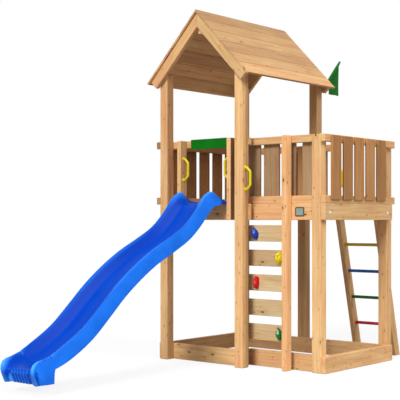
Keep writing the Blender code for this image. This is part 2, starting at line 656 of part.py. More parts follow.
def flag_mesh(foot):
    """Cloth hung from the slanting staff: upright free edges, level hem and two soft folds."""
    near = TOWER_D + FLAG_NEAR
    far = TOWER_D + FLAG_FAR
    hem = foot.z + FLAG_HEM
    columns = 13
    rows = 5
    fold_depth = 0.010
    fold_count = 1.6
    under_staff = (FLAG_STAFF_R + 0.0005) / math.cos(FLAG_SLOPE)
    rings = []
    for column in range(columns):
        t = column / (columns - 1)
        y = near + (far - near) * t
        top = foot.z + (y - foot.y) * math.tan(FLAG_SLOPE) - under_staff
        front = []
        back = []
        for row in range(rows):
            s = row / (rows - 1)
            z = top + (hem - top) * s
            x = foot.x + fold_depth * s * math.sin(2 * math.pi * fold_count * t + 0.4)
            front.append(Vector((x + FLAG_T / 2, y, z)))
            back.append(Vector((x - FLAG_T / 2, y, z)))
        rings.append(front + list(reversed(back)))
    mesh_data = bmesh.new()
    sweep_rings(mesh_data, rings)
    return mesh_data


def catmull(points, steps):
    """A smooth line through points, with even steps in each stretch."""
    line = []
    count = len(points)
    for index in range(count - 1):
        p0 = points[max(index - 1, 0)]
        p1 = points[index]
        p2 = points[index + 1]
        p3 = points[min(index + 2, count - 1)]
        for step in range(steps):
            t = step / steps
            line.append(0.5 * (2 * p1 + (p2 - p0) * t + (2 * p0 - 5 * p1 + 4 * p2 - p3) * t * t
                               + (3 * p1 - p0 - 3 * p2 + p3) * t ** 3))
    line.append(points[-1].copy())
    return line


def ease(value):
    """A smooth step from 0 to 1."""
    value = min(max(value, 0.0), 1.0)
    return value * value * (3 - 2 * value)


def slide_stations():
    """Places along the slide's floor, each with its downhill angle and how far round the nose it is."""
    lip = DECK_TOP + SLIDE_WALL + 2 * SEAT
    points = [
        Vector((POST_W + BOARD_T - 0.004, lip)),
        Vector((0.040, lip)),
        Vector((-0.050, lip - 0.007)),
    ]
    points += [Vector((-SLIDE_REACH * out, DECK_TOP * up)) for out, up in SLIDE_LINE]
    line = catmull(points, 3)
    turns = 5
    last = line[-1]
    heading = line[-1] - line[-2]
    start = math.atan2(-heading.y, -heading.x)
    centre = last + Vector((math.sin(start), -math.cos(start))) * SLIDE_NOSE_R
    stations = []
    for index, point in enumerate(line):
        before = line[max(index - 1, 0)]
        after = line[min(index + 1, len(line) - 1)]
        step = after - before
        stations.append((point, math.atan2(-step.y, -step.x), 0.0))
    for turn in range(1, turns + 1):
        angle = start + (SLIDE_NOSE_TURN - start) * turn / turns
        spoke = Vector((-math.sin(angle), math.cos(angle))) * SLIDE_NOSE_R
        stations.append((centre + spoke, angle, turn / turns))
    end = stations[-1][0]
    face = 2
    for step in range(1, face + 1):
        z = end.y + (SLIDE_NOSE_Z - end.y) * step / face
        y = end.x + (end.y - z) / math.tan(math.pi - SLIDE_NOSE_TURN)
        stations.append((Vector((y, z)), SLIDE_NOSE_TURN, 1.0))
    return stations


def wall_depth(y):
    """How far the outer wall reaches below the floor at a place along the slide."""
    return SLIDE_WALL + (SLIDE_UNDER - SLIDE_WALL) * ease((0.030 - y) / 0.18)


def wall_edges(stations):
    """Lower edge of the outer wall at each station: under the floor, down the foot, along its sole."""
    toe = stations[-1][0]
    heel = toe.x + FOOT_L
    sole = [index for index, station in enumerate(stations) if station[0].x < heel]
    edges = []
    for index, (point, angle, _) in enumerate(stations):
        edge = point - Vector((-math.sin(angle), math.cos(angle))) * wall_depth(point.x)
        drop = ease((heel + FOOT_SLOPE / 2 - point.x) / FOOT_SLOPE)
        edge.y += (SLIDE_NOSE_Z - edge.y) * drop
        if index in sole:
            share = (index - sole[0]) / (len(sole) - 1)
            edge = Vector((heel + (toe.x + SLIDE_WALL - heel) * share, SLIDE_NOSE_Z))
        edges.append(edge)
    return edges


def slide_section(y, angle, tail, edge):
    """The moulded section as points (across, up, along): the top skin, then the same from below.

    y is the place along the slide, and tail runs from 0 before the nose to 1 at the end of its
    bend. edge is the outer wall's lower edge, as its place up from the floor and along the slide.
    """
    open_up = ease((0.075 - y) / 0.165)
    run_out = ease((-y / SLIDE_REACH - 0.850) / 0.150)
    nose = ease(tail)
    ear = EAR_H * math.exp(-((y - EAR_Y) / 0.07) ** 2)
    height = LIP_H + (SLIDE_DEPTH + ear - LIP_H) * open_up
    height = height * (1 - run_out) + RUN_OUT_H * run_out
    height = height * (1 - nose) + LIP_H * nose
    under = wall_depth(y) * (1 - nose)
    closed = 1 - open_up
    crest = SLIDE_CREST + LIP_WIDEN * closed
    skirt = SLIDE_SKIRT + 0.4 * LIP_WIDEN * closed
    floor = SLIDE_FLOOR + 0.050 * closed
    ribs = SLIDE_RIB_H * ease((angle - math.radians(35)) / math.radians(45))
    skin = []
    samples = 2 * SLIDE_RIBS
    ribbed = 0.94 * floor
    for i in range(samples + 1):
        x = ribbed * (2 * i / samples - 1)
        skin.append((x, ribs if i % 2 else 0.0))
    side = [(floor, 0.0)]
    wall_steps = 5
    for i in range(1, wall_steps + 1):
        t = i / wall_steps
        side.append((floor + (crest - floor) * t, height * ease(0.08 + 0.92 * t)))
    round_over = min(0.026, 0.6 * height)
    for i in range(1, 4):
        turn = math.pi / 2 * i / 3
        outward = SLIDE_ROLL_R * math.sin(turn)
        side.append((crest + outward, height - round_over * (1 - math.cos(turn))))
    last_x, last_n = side[-1]
    near_edge = 0.85
    side.append((last_x + (skirt - last_x) * near_edge, last_n - (last_n + under) * near_edge))
    side.append((skirt + FOOT_FLARE * max(0.0, -edge[0] - under), edge[0]))
    left = [(-x, n) for x, n in reversed(side)]
    top = left + skin + side
    outline = top + list(reversed(offset_skin(top, SLIDE_WALL)))
    ends = (0, len(top) - 1, len(top), len(outline) - 1)
    return [(x, n, edge[1] if index in ends else 0.0) for index, (x, n) in enumerate(outline)]


def offset_skin(line, distance):
    """The same line moved to its lower side by the wall thickness, but not below its own ends."""
    moved = []
    lowest = line[0][1]
    for index, (x, n) in enumerate(line):
        before = line[max(index - 1, 0)]
        after = line[min(index + 1, len(line) - 1)]
        dx = after[0] - before[0]
        dn = after[1] - before[1]
        size = math.hypot(dx, dn)
        moved.append((x + dn / size * distance, max(n - dx / size * distance, lowest)))
    for end in (0, -1):
        moved[end] = (moved[end][0], line[end][1])
    return moved


def build_slide(blue, parent):
    """The moulded slide: one open section swept down the wavy line and round the nose."""
    rings = []
    stations = slide_stations()
    for (point, angle, tail), edge in zip(stations, wall_edges(stations)):
        normal = Vector((-math.sin(angle), math.cos(angle)))
        uphill = Vector((math.cos(angle), math.sin(angle)))
        local = ((edge - point).dot(normal), (edge - point).dot(uphill))
        ring = []
        for across, up, along in slide_section(point.x, angle, tail, local):
            place = point + normal * up + uphill * along
            ring.append(Vector((SLIDE_MIDDLE + across, place.x, place.y)))
        rings.append(ring)
    mesh_data = bmesh.new()
    rows = [[mesh_data.verts.new(p) for p in ring] for ring in rings]
    count = len(rows[0])
    for a, b in zip(rows, rows[1:]):
        for i in range(count):
            j = (i + 1) % count
            mesh_data.faces.new((a[i], a[j], b[j], b[i]))
    half = count // 2
    for row in (rows[0], rows[-1]):
        for i in range(half - 1):
            mesh_data.faces.new((row[i], row[i + 1], row[count - 2 - i], row[count - 1 - i]))
    add_object("slide", mesh_data, blue, parent, math.radians(45))


def main():
    """Build every piece of the tower under one origin."""
    clear_scene()
    origin = bpy.data.objects.new("tower_origin", None)
    origin.location = (-POST_W / 2, -BOARD_T / 2, 0)
    bpy.context.scene.collection.objects.link(origin)
    wood = make_material("larch", LARCH, 0.62)
    roof_wood = make_material("larch_roof", LARCH_DARK, 0.62)
    blue_plastic = make_material("blue_polyethylene", SLIDE_BLUE, 0.32)
    materials = {
        "yellow": make_material("yellow_plastic", YELLOW, 0.35),
        "red": make_material("red_plastic", RED, 0.35),
        "green": make_material("green_plastic", GREEN, 0.40),
        "blue": make_material("blue_plastic", BLUE, 0.35),
    }
    build_posts(wood, origin)
    build_base(wood, origin)
    build_platform(wood, origin)
    build_railings(wood, origin)
    build_climbing_wall(wood, origin)
    build_holds(materials, origin)
    build_handles(materials["yellow"], origin)
    build_ladder(wood, materials, origin)
    build_roof(roof_wood, origin)
    build_flag(materials, origin)
    build_slide(blue_plastic, origin)


main()
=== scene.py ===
import logging
import math
from dataclasses import dataclass, field
from enum import Enum
from functools import partial
from typing import Any, Callable, Optional

import bmesh
import bpy
from bmesh.types import BMEdge, BMesh, BMFace, BMVert
from bpy.types import Material, Node, NodeSocket, NodeTree, Object
from mathutils import Matrix, Vector


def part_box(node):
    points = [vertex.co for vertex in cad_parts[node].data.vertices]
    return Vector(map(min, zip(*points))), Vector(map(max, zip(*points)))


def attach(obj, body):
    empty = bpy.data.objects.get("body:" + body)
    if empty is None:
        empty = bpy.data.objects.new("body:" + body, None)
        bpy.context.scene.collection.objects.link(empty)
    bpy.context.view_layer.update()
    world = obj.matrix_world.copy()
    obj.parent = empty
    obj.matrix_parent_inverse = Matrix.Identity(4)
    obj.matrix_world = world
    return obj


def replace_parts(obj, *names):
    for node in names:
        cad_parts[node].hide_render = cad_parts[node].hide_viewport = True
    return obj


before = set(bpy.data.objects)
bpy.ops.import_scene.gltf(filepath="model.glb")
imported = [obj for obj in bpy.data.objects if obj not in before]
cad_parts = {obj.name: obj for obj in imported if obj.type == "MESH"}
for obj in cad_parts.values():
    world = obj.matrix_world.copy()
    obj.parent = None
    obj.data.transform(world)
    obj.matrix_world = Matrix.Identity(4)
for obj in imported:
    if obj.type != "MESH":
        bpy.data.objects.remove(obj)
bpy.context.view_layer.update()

LOG = logging.getLogger("play_tower")
MM = 0.001
TOWER_CORNER = Vector((0.045, 0.0225, 0.0))   # the tower's outer front left corner, from the origin
BOARD_WIDTH = 0.145
ROOF_TILT = 46.0             # degrees from level
LADDER_LEAN = 14.2           # degrees from upright
WHITE = (1.0, 1.0, 1.0, 1.0)
Adder = Callable[..., Node]  # adds a node to the tree that it is made for


class Run(Enum):
    """The axis that a timber's grain runs along, or that its boards are split across."""

    X = 0
    Y = 1
    Z = 2


class Side(Enum):
    """The way that a face looks, as the outward direction of what is fixed to it."""

    FRONT = Vector((0.0, -1.0, 0.0))
    BACK = Vector((0.0, 1.0, 0.0))
    LEFT = Vector((-1.0, 0.0, 0.0))
    RIGHT = Vector((1.0, 0.0, 0.0))
    UP = Vector((0.0, 0.0, 1.0))


def linear(hex_colour: str) -> tuple[float, float, float, float]:
    """Turn an sRGB hex colour into the linear values that the shader wants.

    Args:
        hex_colour: Six hex digits after a hash sign.

    Returns:
        Red, green, blue and an alpha of 1.
    """
    values = [int(hex_colour[i:i + 2], 16) / 255 for i in (1, 3, 5)]
    red, green, blue = [v / 12.92 if v <= 0.04045 else ((v + 0.055) / 1.055) ** 2.4 for v in values]
    return red, green, blue, 1.0


def plug(node: Node, inputs: dict) -> None:
    """Set the inputs of a node.

    Args:
        node: The node.
        inputs: Input index or name to a value, to the socket that feeds it, or to the node whose
            first output feeds it.
    """
    for key, value in inputs.items():
        if isinstance(value, Node):
            value = value.outputs[0]
        if isinstance(value, NodeSocket):
            node.id_data.links.new(value, node.inputs[key])
        else:
            node.inputs[key].default_value = value


def add_node(tree: NodeTree, kind: str, inputs: Optional[dict] = None, **settings: Any) -> Node:
    """Add one node with its settings, its input values and its incoming links.

    Args:
        tree: The material's or world's node tree.
        kind: The node's Blender type, without the leading "ShaderNode".
        inputs: What goes into it, as plug takes it.
        settings: Attributes of the node itself, such as operation.

    Returns:
        The new node.
    """
    made = tree.nodes.new("ShaderNode" + kind)
    for name, value in settings.items():
        setattr(made, name, value)
    plug(made, inputs or {})
    return made


def new_material(name: str) -> tuple[Material, Adder, Node]:
    """Make a material.

    Args:
        name: The material's name.

    Returns:
        The material, what adds a node to it, and its Principled shader.
    """
    material = bpy.data.materials.new(name)
    material.use_nodes = True
    tree = material.node_tree
    return material, partial(add_node, tree), tree.nodes["Principled BSDF"]


def lay_on(name: str, material: Material) -> None:
    """Lay a material on a CAD node.

    Args:
        name: The node's name.
        material: The material.
    """
    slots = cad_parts[name].data.materials
    slots.clear()
    slots.append(material)
    LOG.info("dressed %s in %s", name, material.name)


def pick(table: dict, name: str, other: Any = None) -> Any:
    """The entry of the first key that the name begins with, or else the other value."""
    return next((value for words, value in table.items() if name.startswith(words)), other)


def finish_piece(name: str, shape: BMesh, materials: list,
                 smooth: float = 35.0) -> Object:
    """Turn a finished shape into a piece that rides on the tower.

    Args:
        name: The piece's name.
        shape: Its bmesh, with its place in the mesh; it is freed.
        materials: Its materials, in the order of the faces' material numbers.
        smooth: Edges that turn by more than this many degrees stay sharp.

    Returns:
        The piece.
    """
    bmesh.ops.recalc_face_normals(shape, faces=shape.faces[:])
    mesh = bpy.data.meshes.new(name)
    shape.to_mesh(mesh)
    shape.free()
    for material in materials:
        mesh.materials.append(material)
    mesh.shade_smooth()
    mesh.set_sharp_from_angle(angle=math.radians(smooth))
    piece = bpy.data.objects.new(name, mesh)
    bpy.context.scene.collection.objects.link(piece)
    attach(piece, "root")
    LOG.info("made %s with %d faces", name, len(mesh.polygons))
    return piece


@dataclass(frozen=True)
class Grain:
    """How the boards of one timber piece lie, so that their figure follows them.

    Attributes:
        run: The axis that the grain runs along.
        split: The axis across which the piece is cut into boards, if it is.
        start: Where the first board starts on that axis, in metres.
        pitch: From one board to the next, in metres.
        about: The axis that the piece is turned about, where it slopes.
        tilt: How far it is turned about that axis, in degrees.
    """

    run: Run
    split: Optional[Run] = None
    start: float = 0.0
    pitch: float = 1.0
    about: Run = Run.Y
    tilt: float = 0.0


@dataclass(frozen=True)
class Skin:
    """A second layer of boards over the first, such as slats screwed over the bars of a railing.

    Attributes:
        grain: How the boards of the second layer lie.
        depth: The axis through both layers.
        level: Where on that axis the second layer starts, in metres.
        outward: 1 where the second layer lies above the level, -1 where it lies below.
        tone: Multiplies the second layer's colour.
        tint: A colour laid over the second layer's own.
        bands: The lowest and highest Z of each bar, where what lies against the level is the bar.
        contact: How near the level that is.
    """

    grain: Grain
    depth: Run
    level: float
    outward: int
    tone: float = 1.0
    tint: str = "#FFFFFF"
    bands: tuple = ()
    contact: float = 2.0 * MM


@dataclass(frozen=True)
class PlanedLarch:
    """Planed, oiled softwood: honey-coloured earlywood between amber latewood lines, with dark knots.

    The eye sees long soft streaks along each board, a change of tint from board to board,
    arcs on the end grain, and knots that the streaks bend round.
    """

    pale: str = "#EBC48C"
    middle: str = "#E0B67E"
    amber: str = "#BA8349"
    rosy: str = "#DDA374"
    knot: str = "#5A3418"
    ring_mm: float = 24.0        # real rings are 3 mm: drawn coarse enough to show in the render
    ring_share: float = 0.26
    variety: float = 0.36        # how much lighter one board is than the next
    fibre_mm: float = 2.4        # real fibres are finer: drawn coarse enough to show
    roughness: float = 0.60
    # Cell size, smallest and largest radius in mm, and the share of cells with a knot
    knot_kinds: tuple = ((80.0, 2.0, 4.4, 0.60), (360.0, 6.0, 11.0, 0.42))
    knot_squeeze: float = 0.55   # scattered knots are longer along the grain than across it
    mark_squeeze: float = 0.42   # and so are the knots at known places
    log_shift: tuple = (9.0, 0.30, 0.30)     # how far apart two boards may lie in the log, in metres

    def build(self, name: str, seed: float, grain: Grain, skin: Optional[Skin] = None,
              tone: float = 1.0, marks: tuple = ()) -> Material:
        """Build the material for one timber.

        Args:
            name: The material's name.
            seed: Any number; another one gives another piece of wood.
            grain: How its boards lie.
            skin: A second layer of boards, if it has one.
            tone: Multiplies the wood's colour, for a darker or lighter cut, or as painted shade or painted
                light.
            marks: Knots at known places: X, Y, Z from the tower's corner and a radius.

        Returns:
            The material.
        """
        material, add, shader = new_material(name)
        place = add("TexCoord")
        spot, facing, board = self.in_board(add, place, grain)
        if skin is not None:
            over = self.in_skin(add, place, skin)
            upper = self.in_board(add, place, skin.grain)
            spot, facing = [add("Mix", {0: over, 4: below, 5: above}, data_type="VECTOR").outputs[1]
                            for below, above in ((spot, upper[0]), (facing, upper[1]))]
            board = add("Mix", {0: over, 2: board, 3: upper[2]})
            tone = add("Mix", {0: over, 2: tone, 3: skin.tone})
        key = add("Math", {0: board, 1: seed}, operation="ADD")
        chance = add("TexWhiteNoise", {"W": key}, noise_dimensions="1D").outputs["Color"]
        spot = add("VectorMath", {0: chance, 1: self.log_shift, 2: spot}, operation="MULTIPLY_ADD")
        core, halo = self.knots(add, spot, facing)
        squeeze = [self.mark_squeeze if axis is grain.run else 1.0 for axis in Run]
        for x, y, z, radius in marks:
            away = add("VectorMath", {0: place.outputs["Object"],
                                      1: Vector((x, y, z)) - TOWER_CORNER}, operation="SUBTRACT")
            flat = add("VectorMath", {0: away, 1: squeeze}, operation="MULTIPLY")
            far = add("VectorMath", {0: flat}, operation="LENGTH").outputs["Value"]
            core, halo = self.widen(add, far, radius, core, halo)
        rings, fibre = self.figure(add, spot, halo)
        colour = self.colour(add, spot, chance, rings, fibre, core, halo, tone)
        if skin is not None:
            colour = add("Mix", {0: over, 6: colour, 7: linear(skin.tint)}, data_type="RGBA",
                         blend_type="MULTIPLY").outputs[2]
        height = add("Math", {0: rings, 1: 0.5, 2: fibre}, operation="MULTIPLY_ADD")
        bump = add("Bump", {"Strength": 0.40, "Distance": 0.6 * MM, "Height": height})
        rough = add("Math", {0: fibre, 1: 0.16, 2: self.roughness - 0.08}, operation="MULTIPLY_ADD")
        plug(shader, {"Base Color": colour, "Normal": bump, "Roughness": rough, "IOR": 1.45,
                      "Specular IOR Level": 0.22})
        return material

    def in_skin(self, add: Adder, place: Node, skin: Skin) -> Node:
        """Tell the second layer of boards from the first.

        Args:
            add: Adds a node to the material.
            place: The Texture Coordinate node.
            skin: The second layer.

        Returns:
            A node that gives 1 in the second layer and 0 in the first.
        """
        parts = add("SeparateXYZ", {0: place.outputs["Object"]}).outputs
        depth = parts[skin.depth.value]
        over = add("Math", {0: depth, 1: skin.level},
                   operation="GREATER_THAN" if skin.outward > 0 else "LESS_THAN")
        for low, high in skin.bands:
            inside = add("Math", {0: parts["Z"], 1: (low + high) / 2, 2: (high - low) / 2},
                         operation="COMPARE")
            near = add("Math", {0: depth, 1: skin.level, 2: skin.contact}, operation="COMPARE")
            bar = add("Math", {0: inside, 1: near}, operation="MULTIPLY")
            over = add("Math", {0: over, 1: bar}, operation="SUBTRACT", use_clamp=True)
        return over

    def in_board(self, add: Adder, place: Node, grain: Grain) -> tuple:
        """Find where a point lies in its own board: along it, across it and through it.

        Args:
            add: Adds a node to the material.
            place: The Texture Coordinate node.
            grain: How the boards lie.

        Returns:
            The point and the surface's direction in the board's own axes, and the board's number.
        """
        run = grain.run.value
        turned = []
        for name in ("Object", "Normal"):
            level = add("VectorRotate", {"Vector": place.outputs[name],
                                         "Angle": math.radians(-grain.tilt)},
                        rotation_type=grain.about.name + "_AXIS")
            parts = add("SeparateXYZ", {0: level}).outputs
            turned.append(add("CombineXYZ", {axis: parts[(run + axis) % 3] for axis in range(3)}))
        if grain.split is None:
            return turned[0].outputs[0], turned[1].outputs[0], 0.0
        parts = add("SeparateXYZ", {0: place.outputs["Object"]}).outputs
        offset = -grain.start / grain.pitch
        steps = add("Math", {0: parts[grain.split.value], 1: 1 / grain.pitch, 2: offset},
                    operation="MULTIPLY_ADD")
        number = add("Math", {0: steps}, operation="FLOOR")
        return turned[0].outputs[0], turned[1].outputs[0], number

    def knots(self, add: Adder, spot: Node, facing: Any) -> tuple:
        """Scatter pin knots and broad knots over each face.

        Args:
            add: Adds a node to the material.
            spot: The point in the board's axes.
            facing: The surface's direction in the board's axes.

        Returns:
            Sockets for the knots themselves and for the soft halo of bent grain round them.
        """
        look = add("SeparateXYZ", {0: add("VectorMath", {0: facing},
                                          operation="ABSOLUTE")}).outputs
        sideways = add("Math", {0: look[1], 1: look[2]}, operation="GREATER_THAN")
        parts = add("SeparateXYZ", {0: spot}).outputs
        width = add("Mix", {0: sideways, 2: parts[1], 3: parts[2]})
        core, halo = 0.0, 0.0
        for cell_mm, small_mm, large_mm, share in self.knot_kinds:
            cell = cell_mm * MM
            squeezed = add("Math", {0: parts[0], 1: self.knot_squeeze}, operation="MULTIPLY")
            flat = add("CombineXYZ", {0: squeezed, 1: width, 2: 0.0})
            cells = add("TexVoronoi", {"Vector": flat, "Scale": 1 / cell}, voronoi_dimensions="2D")
            luck = add("SeparateXYZ", {0: cells.outputs["Color"]}).outputs
            kept = add("Math", {0: luck[0], 1: share}, operation="LESS_THAN")
            radius = add("Math", {0: luck[1], 1: (large_mm - small_mm) * MM, 2: small_mm * MM},
                         operation="MULTIPLY_ADD")
            far = add("Math", {0: cells.outputs["Distance"], 1: cell}, operation="MULTIPLY")
            core, halo = self.widen(add, far, radius, core, halo, kept)
        return core, halo

    def widen(self, add: Adder, far: Any, radius: Any, core: Any, halo: Any,
              kept: Any = 1.0) -> tuple:
        """Add knots to those already there.

        Args:
            add: Adds a node to the material.
            far: How far the point is from the nearest knot's middle.
            radius: That knot's radius.
            core: The knots so far.
            halo: Their halo so far.
            kept: 1 where the knot is real.

        Returns:
            Nodes for the knots and for their halo.
        """
        ratio = add("Math", {0: far, 1: radius}, operation="DIVIDE")
        layers = []
        for before, full, gone in ((core, 0.70, 1.10), (halo, 0.80, 4.50)):
            fade = add("MapRange", {"Value": ratio, "From Min": full, "From Max": gone,
                                    "To Min": 1.0, "To Max": 0.0}, interpolation_type="SMOOTHSTEP")
            real = add("Math", {0: fade, 1: kept}, operation="MULTIPLY")
            layers.append(add("Math", {0: real, 1: before}, operation="MAXIMUM"))
        return layers[0], layers[1]

    def figure(self, add: Adder, spot: Node, halo: Node) -> tuple:
        """Year rings cut lengthwise, and the fine fibre over them.

        Args:
            add: Adds a node to the material.
            spot: The point in the board's axes.
            halo: How much the grain is bent by a knot.

        Returns:
            Nodes for the latewood lines and for the fibre, each from 0 to 1.
        """
        lazy = add("VectorMath", {0: spot, 1: (0.18, 1.0, 1.0)}, operation="MULTIPLY")
        sway = add("TexNoise", {"Vector": lazy, "Scale": 8.0, "Detail": 2.0})
        bend = add("VectorMath", {0: sway.outputs["Color"], 1: (0.0, 0.09, 0.09), 2: spot},
                   operation="MULTIPLY_ADD")
        cross = add("VectorMath", {0: bend, 1: (0.0, 1.0, 1.0)}, operation="MULTIPLY")
        radius = add("VectorMath", {0: cross}, operation="LENGTH").outputs["Value"]
        pushed = add("Math", {0: halo, 1: 0.010, 2: radius}, operation="MULTIPLY_ADD")
        turns = add("Math", {0: pushed, 1: 1 / (self.ring_mm * MM)}, operation="MULTIPLY")
        early = add("Math", {0: turns}, operation="FRACT")
        late = add("Math", {0: early, 1: 2.4}, operation="POWER")
        edge = add("MapRange", {"Value": early, "From Min": 0.88, "From Max": 1.0,
                                "To Min": 1.0, "To Max": 0.0}, interpolation_type="SMOOTHSTEP")
        lines = add("Math", {0: late, 1: edge}, operation="MULTIPLY")
        thread = add("VectorMath", {0: spot, 1: (0.02, 1.0, 1.0)}, operation="MULTIPLY")
        fibre = add("TexNoise", {"Vector": thread, "Scale": 1 / (self.fibre_mm * MM),
                                 "Detail": 3.0, "Roughness": 0.6})
        return lines, fibre

    def colour(self, add: Adder, spot: Node, chance: Any, rings: Node, fibre: Node, core: Node,
               halo: Node, tone: Any) -> NodeSocket:
        """Lay the wood's tints over each other.

        Args:
            add: Adds a node to the material.
            spot: The point in the board's axes.
            chance: Three chance numbers for the board.
            rings: Latewood lines.
            fibre: Fine fibre.
            core: Knots.
            halo: Bent grain round the knots.
            tone: Multiplies the colour.

        Returns:
            The colour's socket.
        """
        broad = add("VectorMath", {0: spot, 1: (0.30, 1.0, 1.0)}, operation="MULTIPLY")
        patch = add("TexNoise", {"Vector": broad, "Scale": 7.0, "Detail": 2.0})
        base = add("ValToRGB", {0: patch})
        stops = base.color_ramp.elements
        stops.new(0.52).color = linear(self.middle)
        stops[0].position, stops[0].color = 0.30, linear(self.pale)
        stops[2].position, stops[2].color = 0.72, linear(self.rosy)
        draws = add("SeparateXYZ", {0: chance}).outputs
        blush = add("Math", {0: draws[2], 1: 0.55}, operation="MULTIPLY")
        tinted = add("Mix", {0: blush, 6: base, 7: linear(self.rosy)}, data_type="RGBA")
        long = add("VectorMath", {0: spot, 1: (0.05, 1.0, 1.0)}, operation="MULTIPLY")
        band = add("TexNoise", {"Vector": long, "Scale": 38.0, "Detail": 4.0, "Roughness": 0.65})
        deep = add("MapRange", {"Value": band, "From Min": 0.48, "From Max": 0.74,
                                "To Min": 0.0, "To Max": 0.60})
        part = add("Math", {0: rings, 1: self.ring_share, 2: deep}, operation="MULTIPLY_ADD")
        streaked = add("Mix", {0: part, 6: tinted.outputs[2], 7: linear(self.amber)},
                       data_type="RGBA")
        thread = add("MapRange", {"Value": fibre, "From Min": 0.30, "From Max": 0.65,
                                  "To Min": 0.86, "To Max": 1.05})
        board = add("Math", {0: draws[1], 1: self.variety, 2: 1.0 - 0.55 * self.variety},
                    operation="MULTIPLY_ADD")
        cut = add("Math", {0: board, 1: tone}, operation="MULTIPLY")
        shade = add("Math", {0: thread, 1: cut}, operation="MULTIPLY")
        toned = add("Mix", {0: 1.0, 6: streaked.outputs[2], 7: shade}, data_type="RGBA",
                    blend_type="MULTIPLY")
        warm = add("Math", {0: halo, 1: 0.40}, operation="MULTIPLY")
        bent = add("Mix", {0: warm, 6: toned.outputs[2], 7: linear(self.amber)}, data_type="RGBA")
        dark = add("Math", {0: core, 1: 0.92}, operation="MULTIPLY")
        return add("Mix", {0: dark, 6: bent.outputs[2], 7: linear(self.knot)},
                   data_type="RGBA").outputs[2]


@dataclass(frozen=True)
class MouldedPolyethylene:
    """Blow-moulded or injection-moulded polyethylene: even colour, soft gloss, faint orange peel.

    Attributes:
        name: The material's name.
        colour: Its colour as it looks.
        scuffed: The lighter colour of its rubbed and scuffed places.
        roughness: Its roughness, on average.
        gloss: How strongly it mirrors, for the shader's specular level.
        painted_lit_wall: The colour of walls that look sideways, painted paler than the rest as painted
            light.
        rim: The colour of its outward edges, as a painted highlight.
        peel_mm: The size of the fine unevenness of the moulded skin.
    """

    name: str
    colour: str
    scuffed: str
    roughness: float
    gloss: float = 0.35
    painted_lit_wall: Optional[str] = None
    rim: Optional[str] = None
    peel_mm: float = 5.0

    def build(self) -> Material:
        """Build the material.

        Returns:
            The material.
        """
        material, add, shader = new_material(self.name)
        place = add("TexCoord")
        spot = place.outputs["Object"]
        cloud = add("TexNoise", {"Vector": spot, "Scale": 6.0, "Detail": 4.0})
        worn = add("MapRange", {"Value": cloud, "From Min": 0.42, "From Max": 0.75, "To Max": 0.35})
        body: Any = linear(self.colour)
        inward: Any = 1.0
        # Walls that look sideways are painted a paler colour, as painted light.
        if self.painted_lit_wall is not None:
            look = add("SeparateXYZ", {0: add("VectorMath", {0: place.outputs["Normal"]},
                                              operation="ABSOLUTE")}).outputs
            wall = add("MapRange", {"Value": look[0], "From Min": 0.88, "From Max": 0.96},
                       interpolation_type="SMOOTHSTEP")
            inward = add("Math", {0: 1.0, 1: wall}, operation="SUBTRACT")
            body = add("Mix", {0: wall, 6: body, 7: linear(self.painted_lit_wall)}, data_type="RGBA").outputs[2]
        colour = add("Mix", {0: worn, 6: body, 7: linear(self.scuffed)}, data_type="RGBA")
        # Pointed outward edges, but not the sideways walls, get a painted highlight in the rim colour.
        if self.rim is not None:
            bulge = add("NewGeometry").outputs["Pointiness"]
            sharp = add("MapRange", {"Value": bulge, "From Min": 0.515, "From Max": 0.575})
            edge = add("Math", {0: sharp, 1: inward}, operation="MULTIPLY")
            colour = add("Mix", {0: edge, 6: colour.outputs[2], 7: linear(self.rim)}, data_type="RGBA")
        peel = add("TexNoise", {"Vector": spot, "Scale": 1 / (self.peel_mm * MM), "Detail": 2.0})
        bump = add("Bump", {"Strength": 0.25, "Distance": 0.12 * MM, "Height": peel})
        rough = add("Math", {0: cloud, 1: 0.18, 2: self.roughness - 0.09}, operation="MULTIPLY_ADD")
        plug(shader, {"Base Color": colour.outputs[2], "Roughness": rough, "Normal": bump, "IOR": 1.50,
                      "Specular IOR Level": self.gloss})
        return material


@dataclass(frozen=True)
class ZincPlatedSteel:
    """Zinc-plated and passivated steel: dull grey metal with a faint cloudiness.

    The eye sees small soft glints on screw heads, darker in their sockets.
    """

    name: str = "zinc_plated_steel"
    colour: str = "#9C9A93"
    dull: str = "#77756E"
    roughness: float = 0.42
    cloud_mm: float = 3.0

    def build(self) -> Material:
        """Build the material.

        Returns:
            The material.
        """
        material, add, shader = new_material(self.name)
        spot = add("TexCoord").outputs["Object"]
        cloud = add("TexNoise", {"Vector": spot, "Scale": 1 / (self.cloud_mm * MM), "Detail": 3.0})
        colour = add("Mix", {0: cloud, 6: linear(self.colour), 7: linear(self.dull)}, data_type="RGBA")
        rough = add("Math", {0: cloud, 1: 0.2, 2: self.roughness - 0.1}, operation="MULTIPLY_ADD")
        plug(shader, {"Base Color": colour.outputs[2], "Roughness": rough, "Metallic": 1.0})
        return material


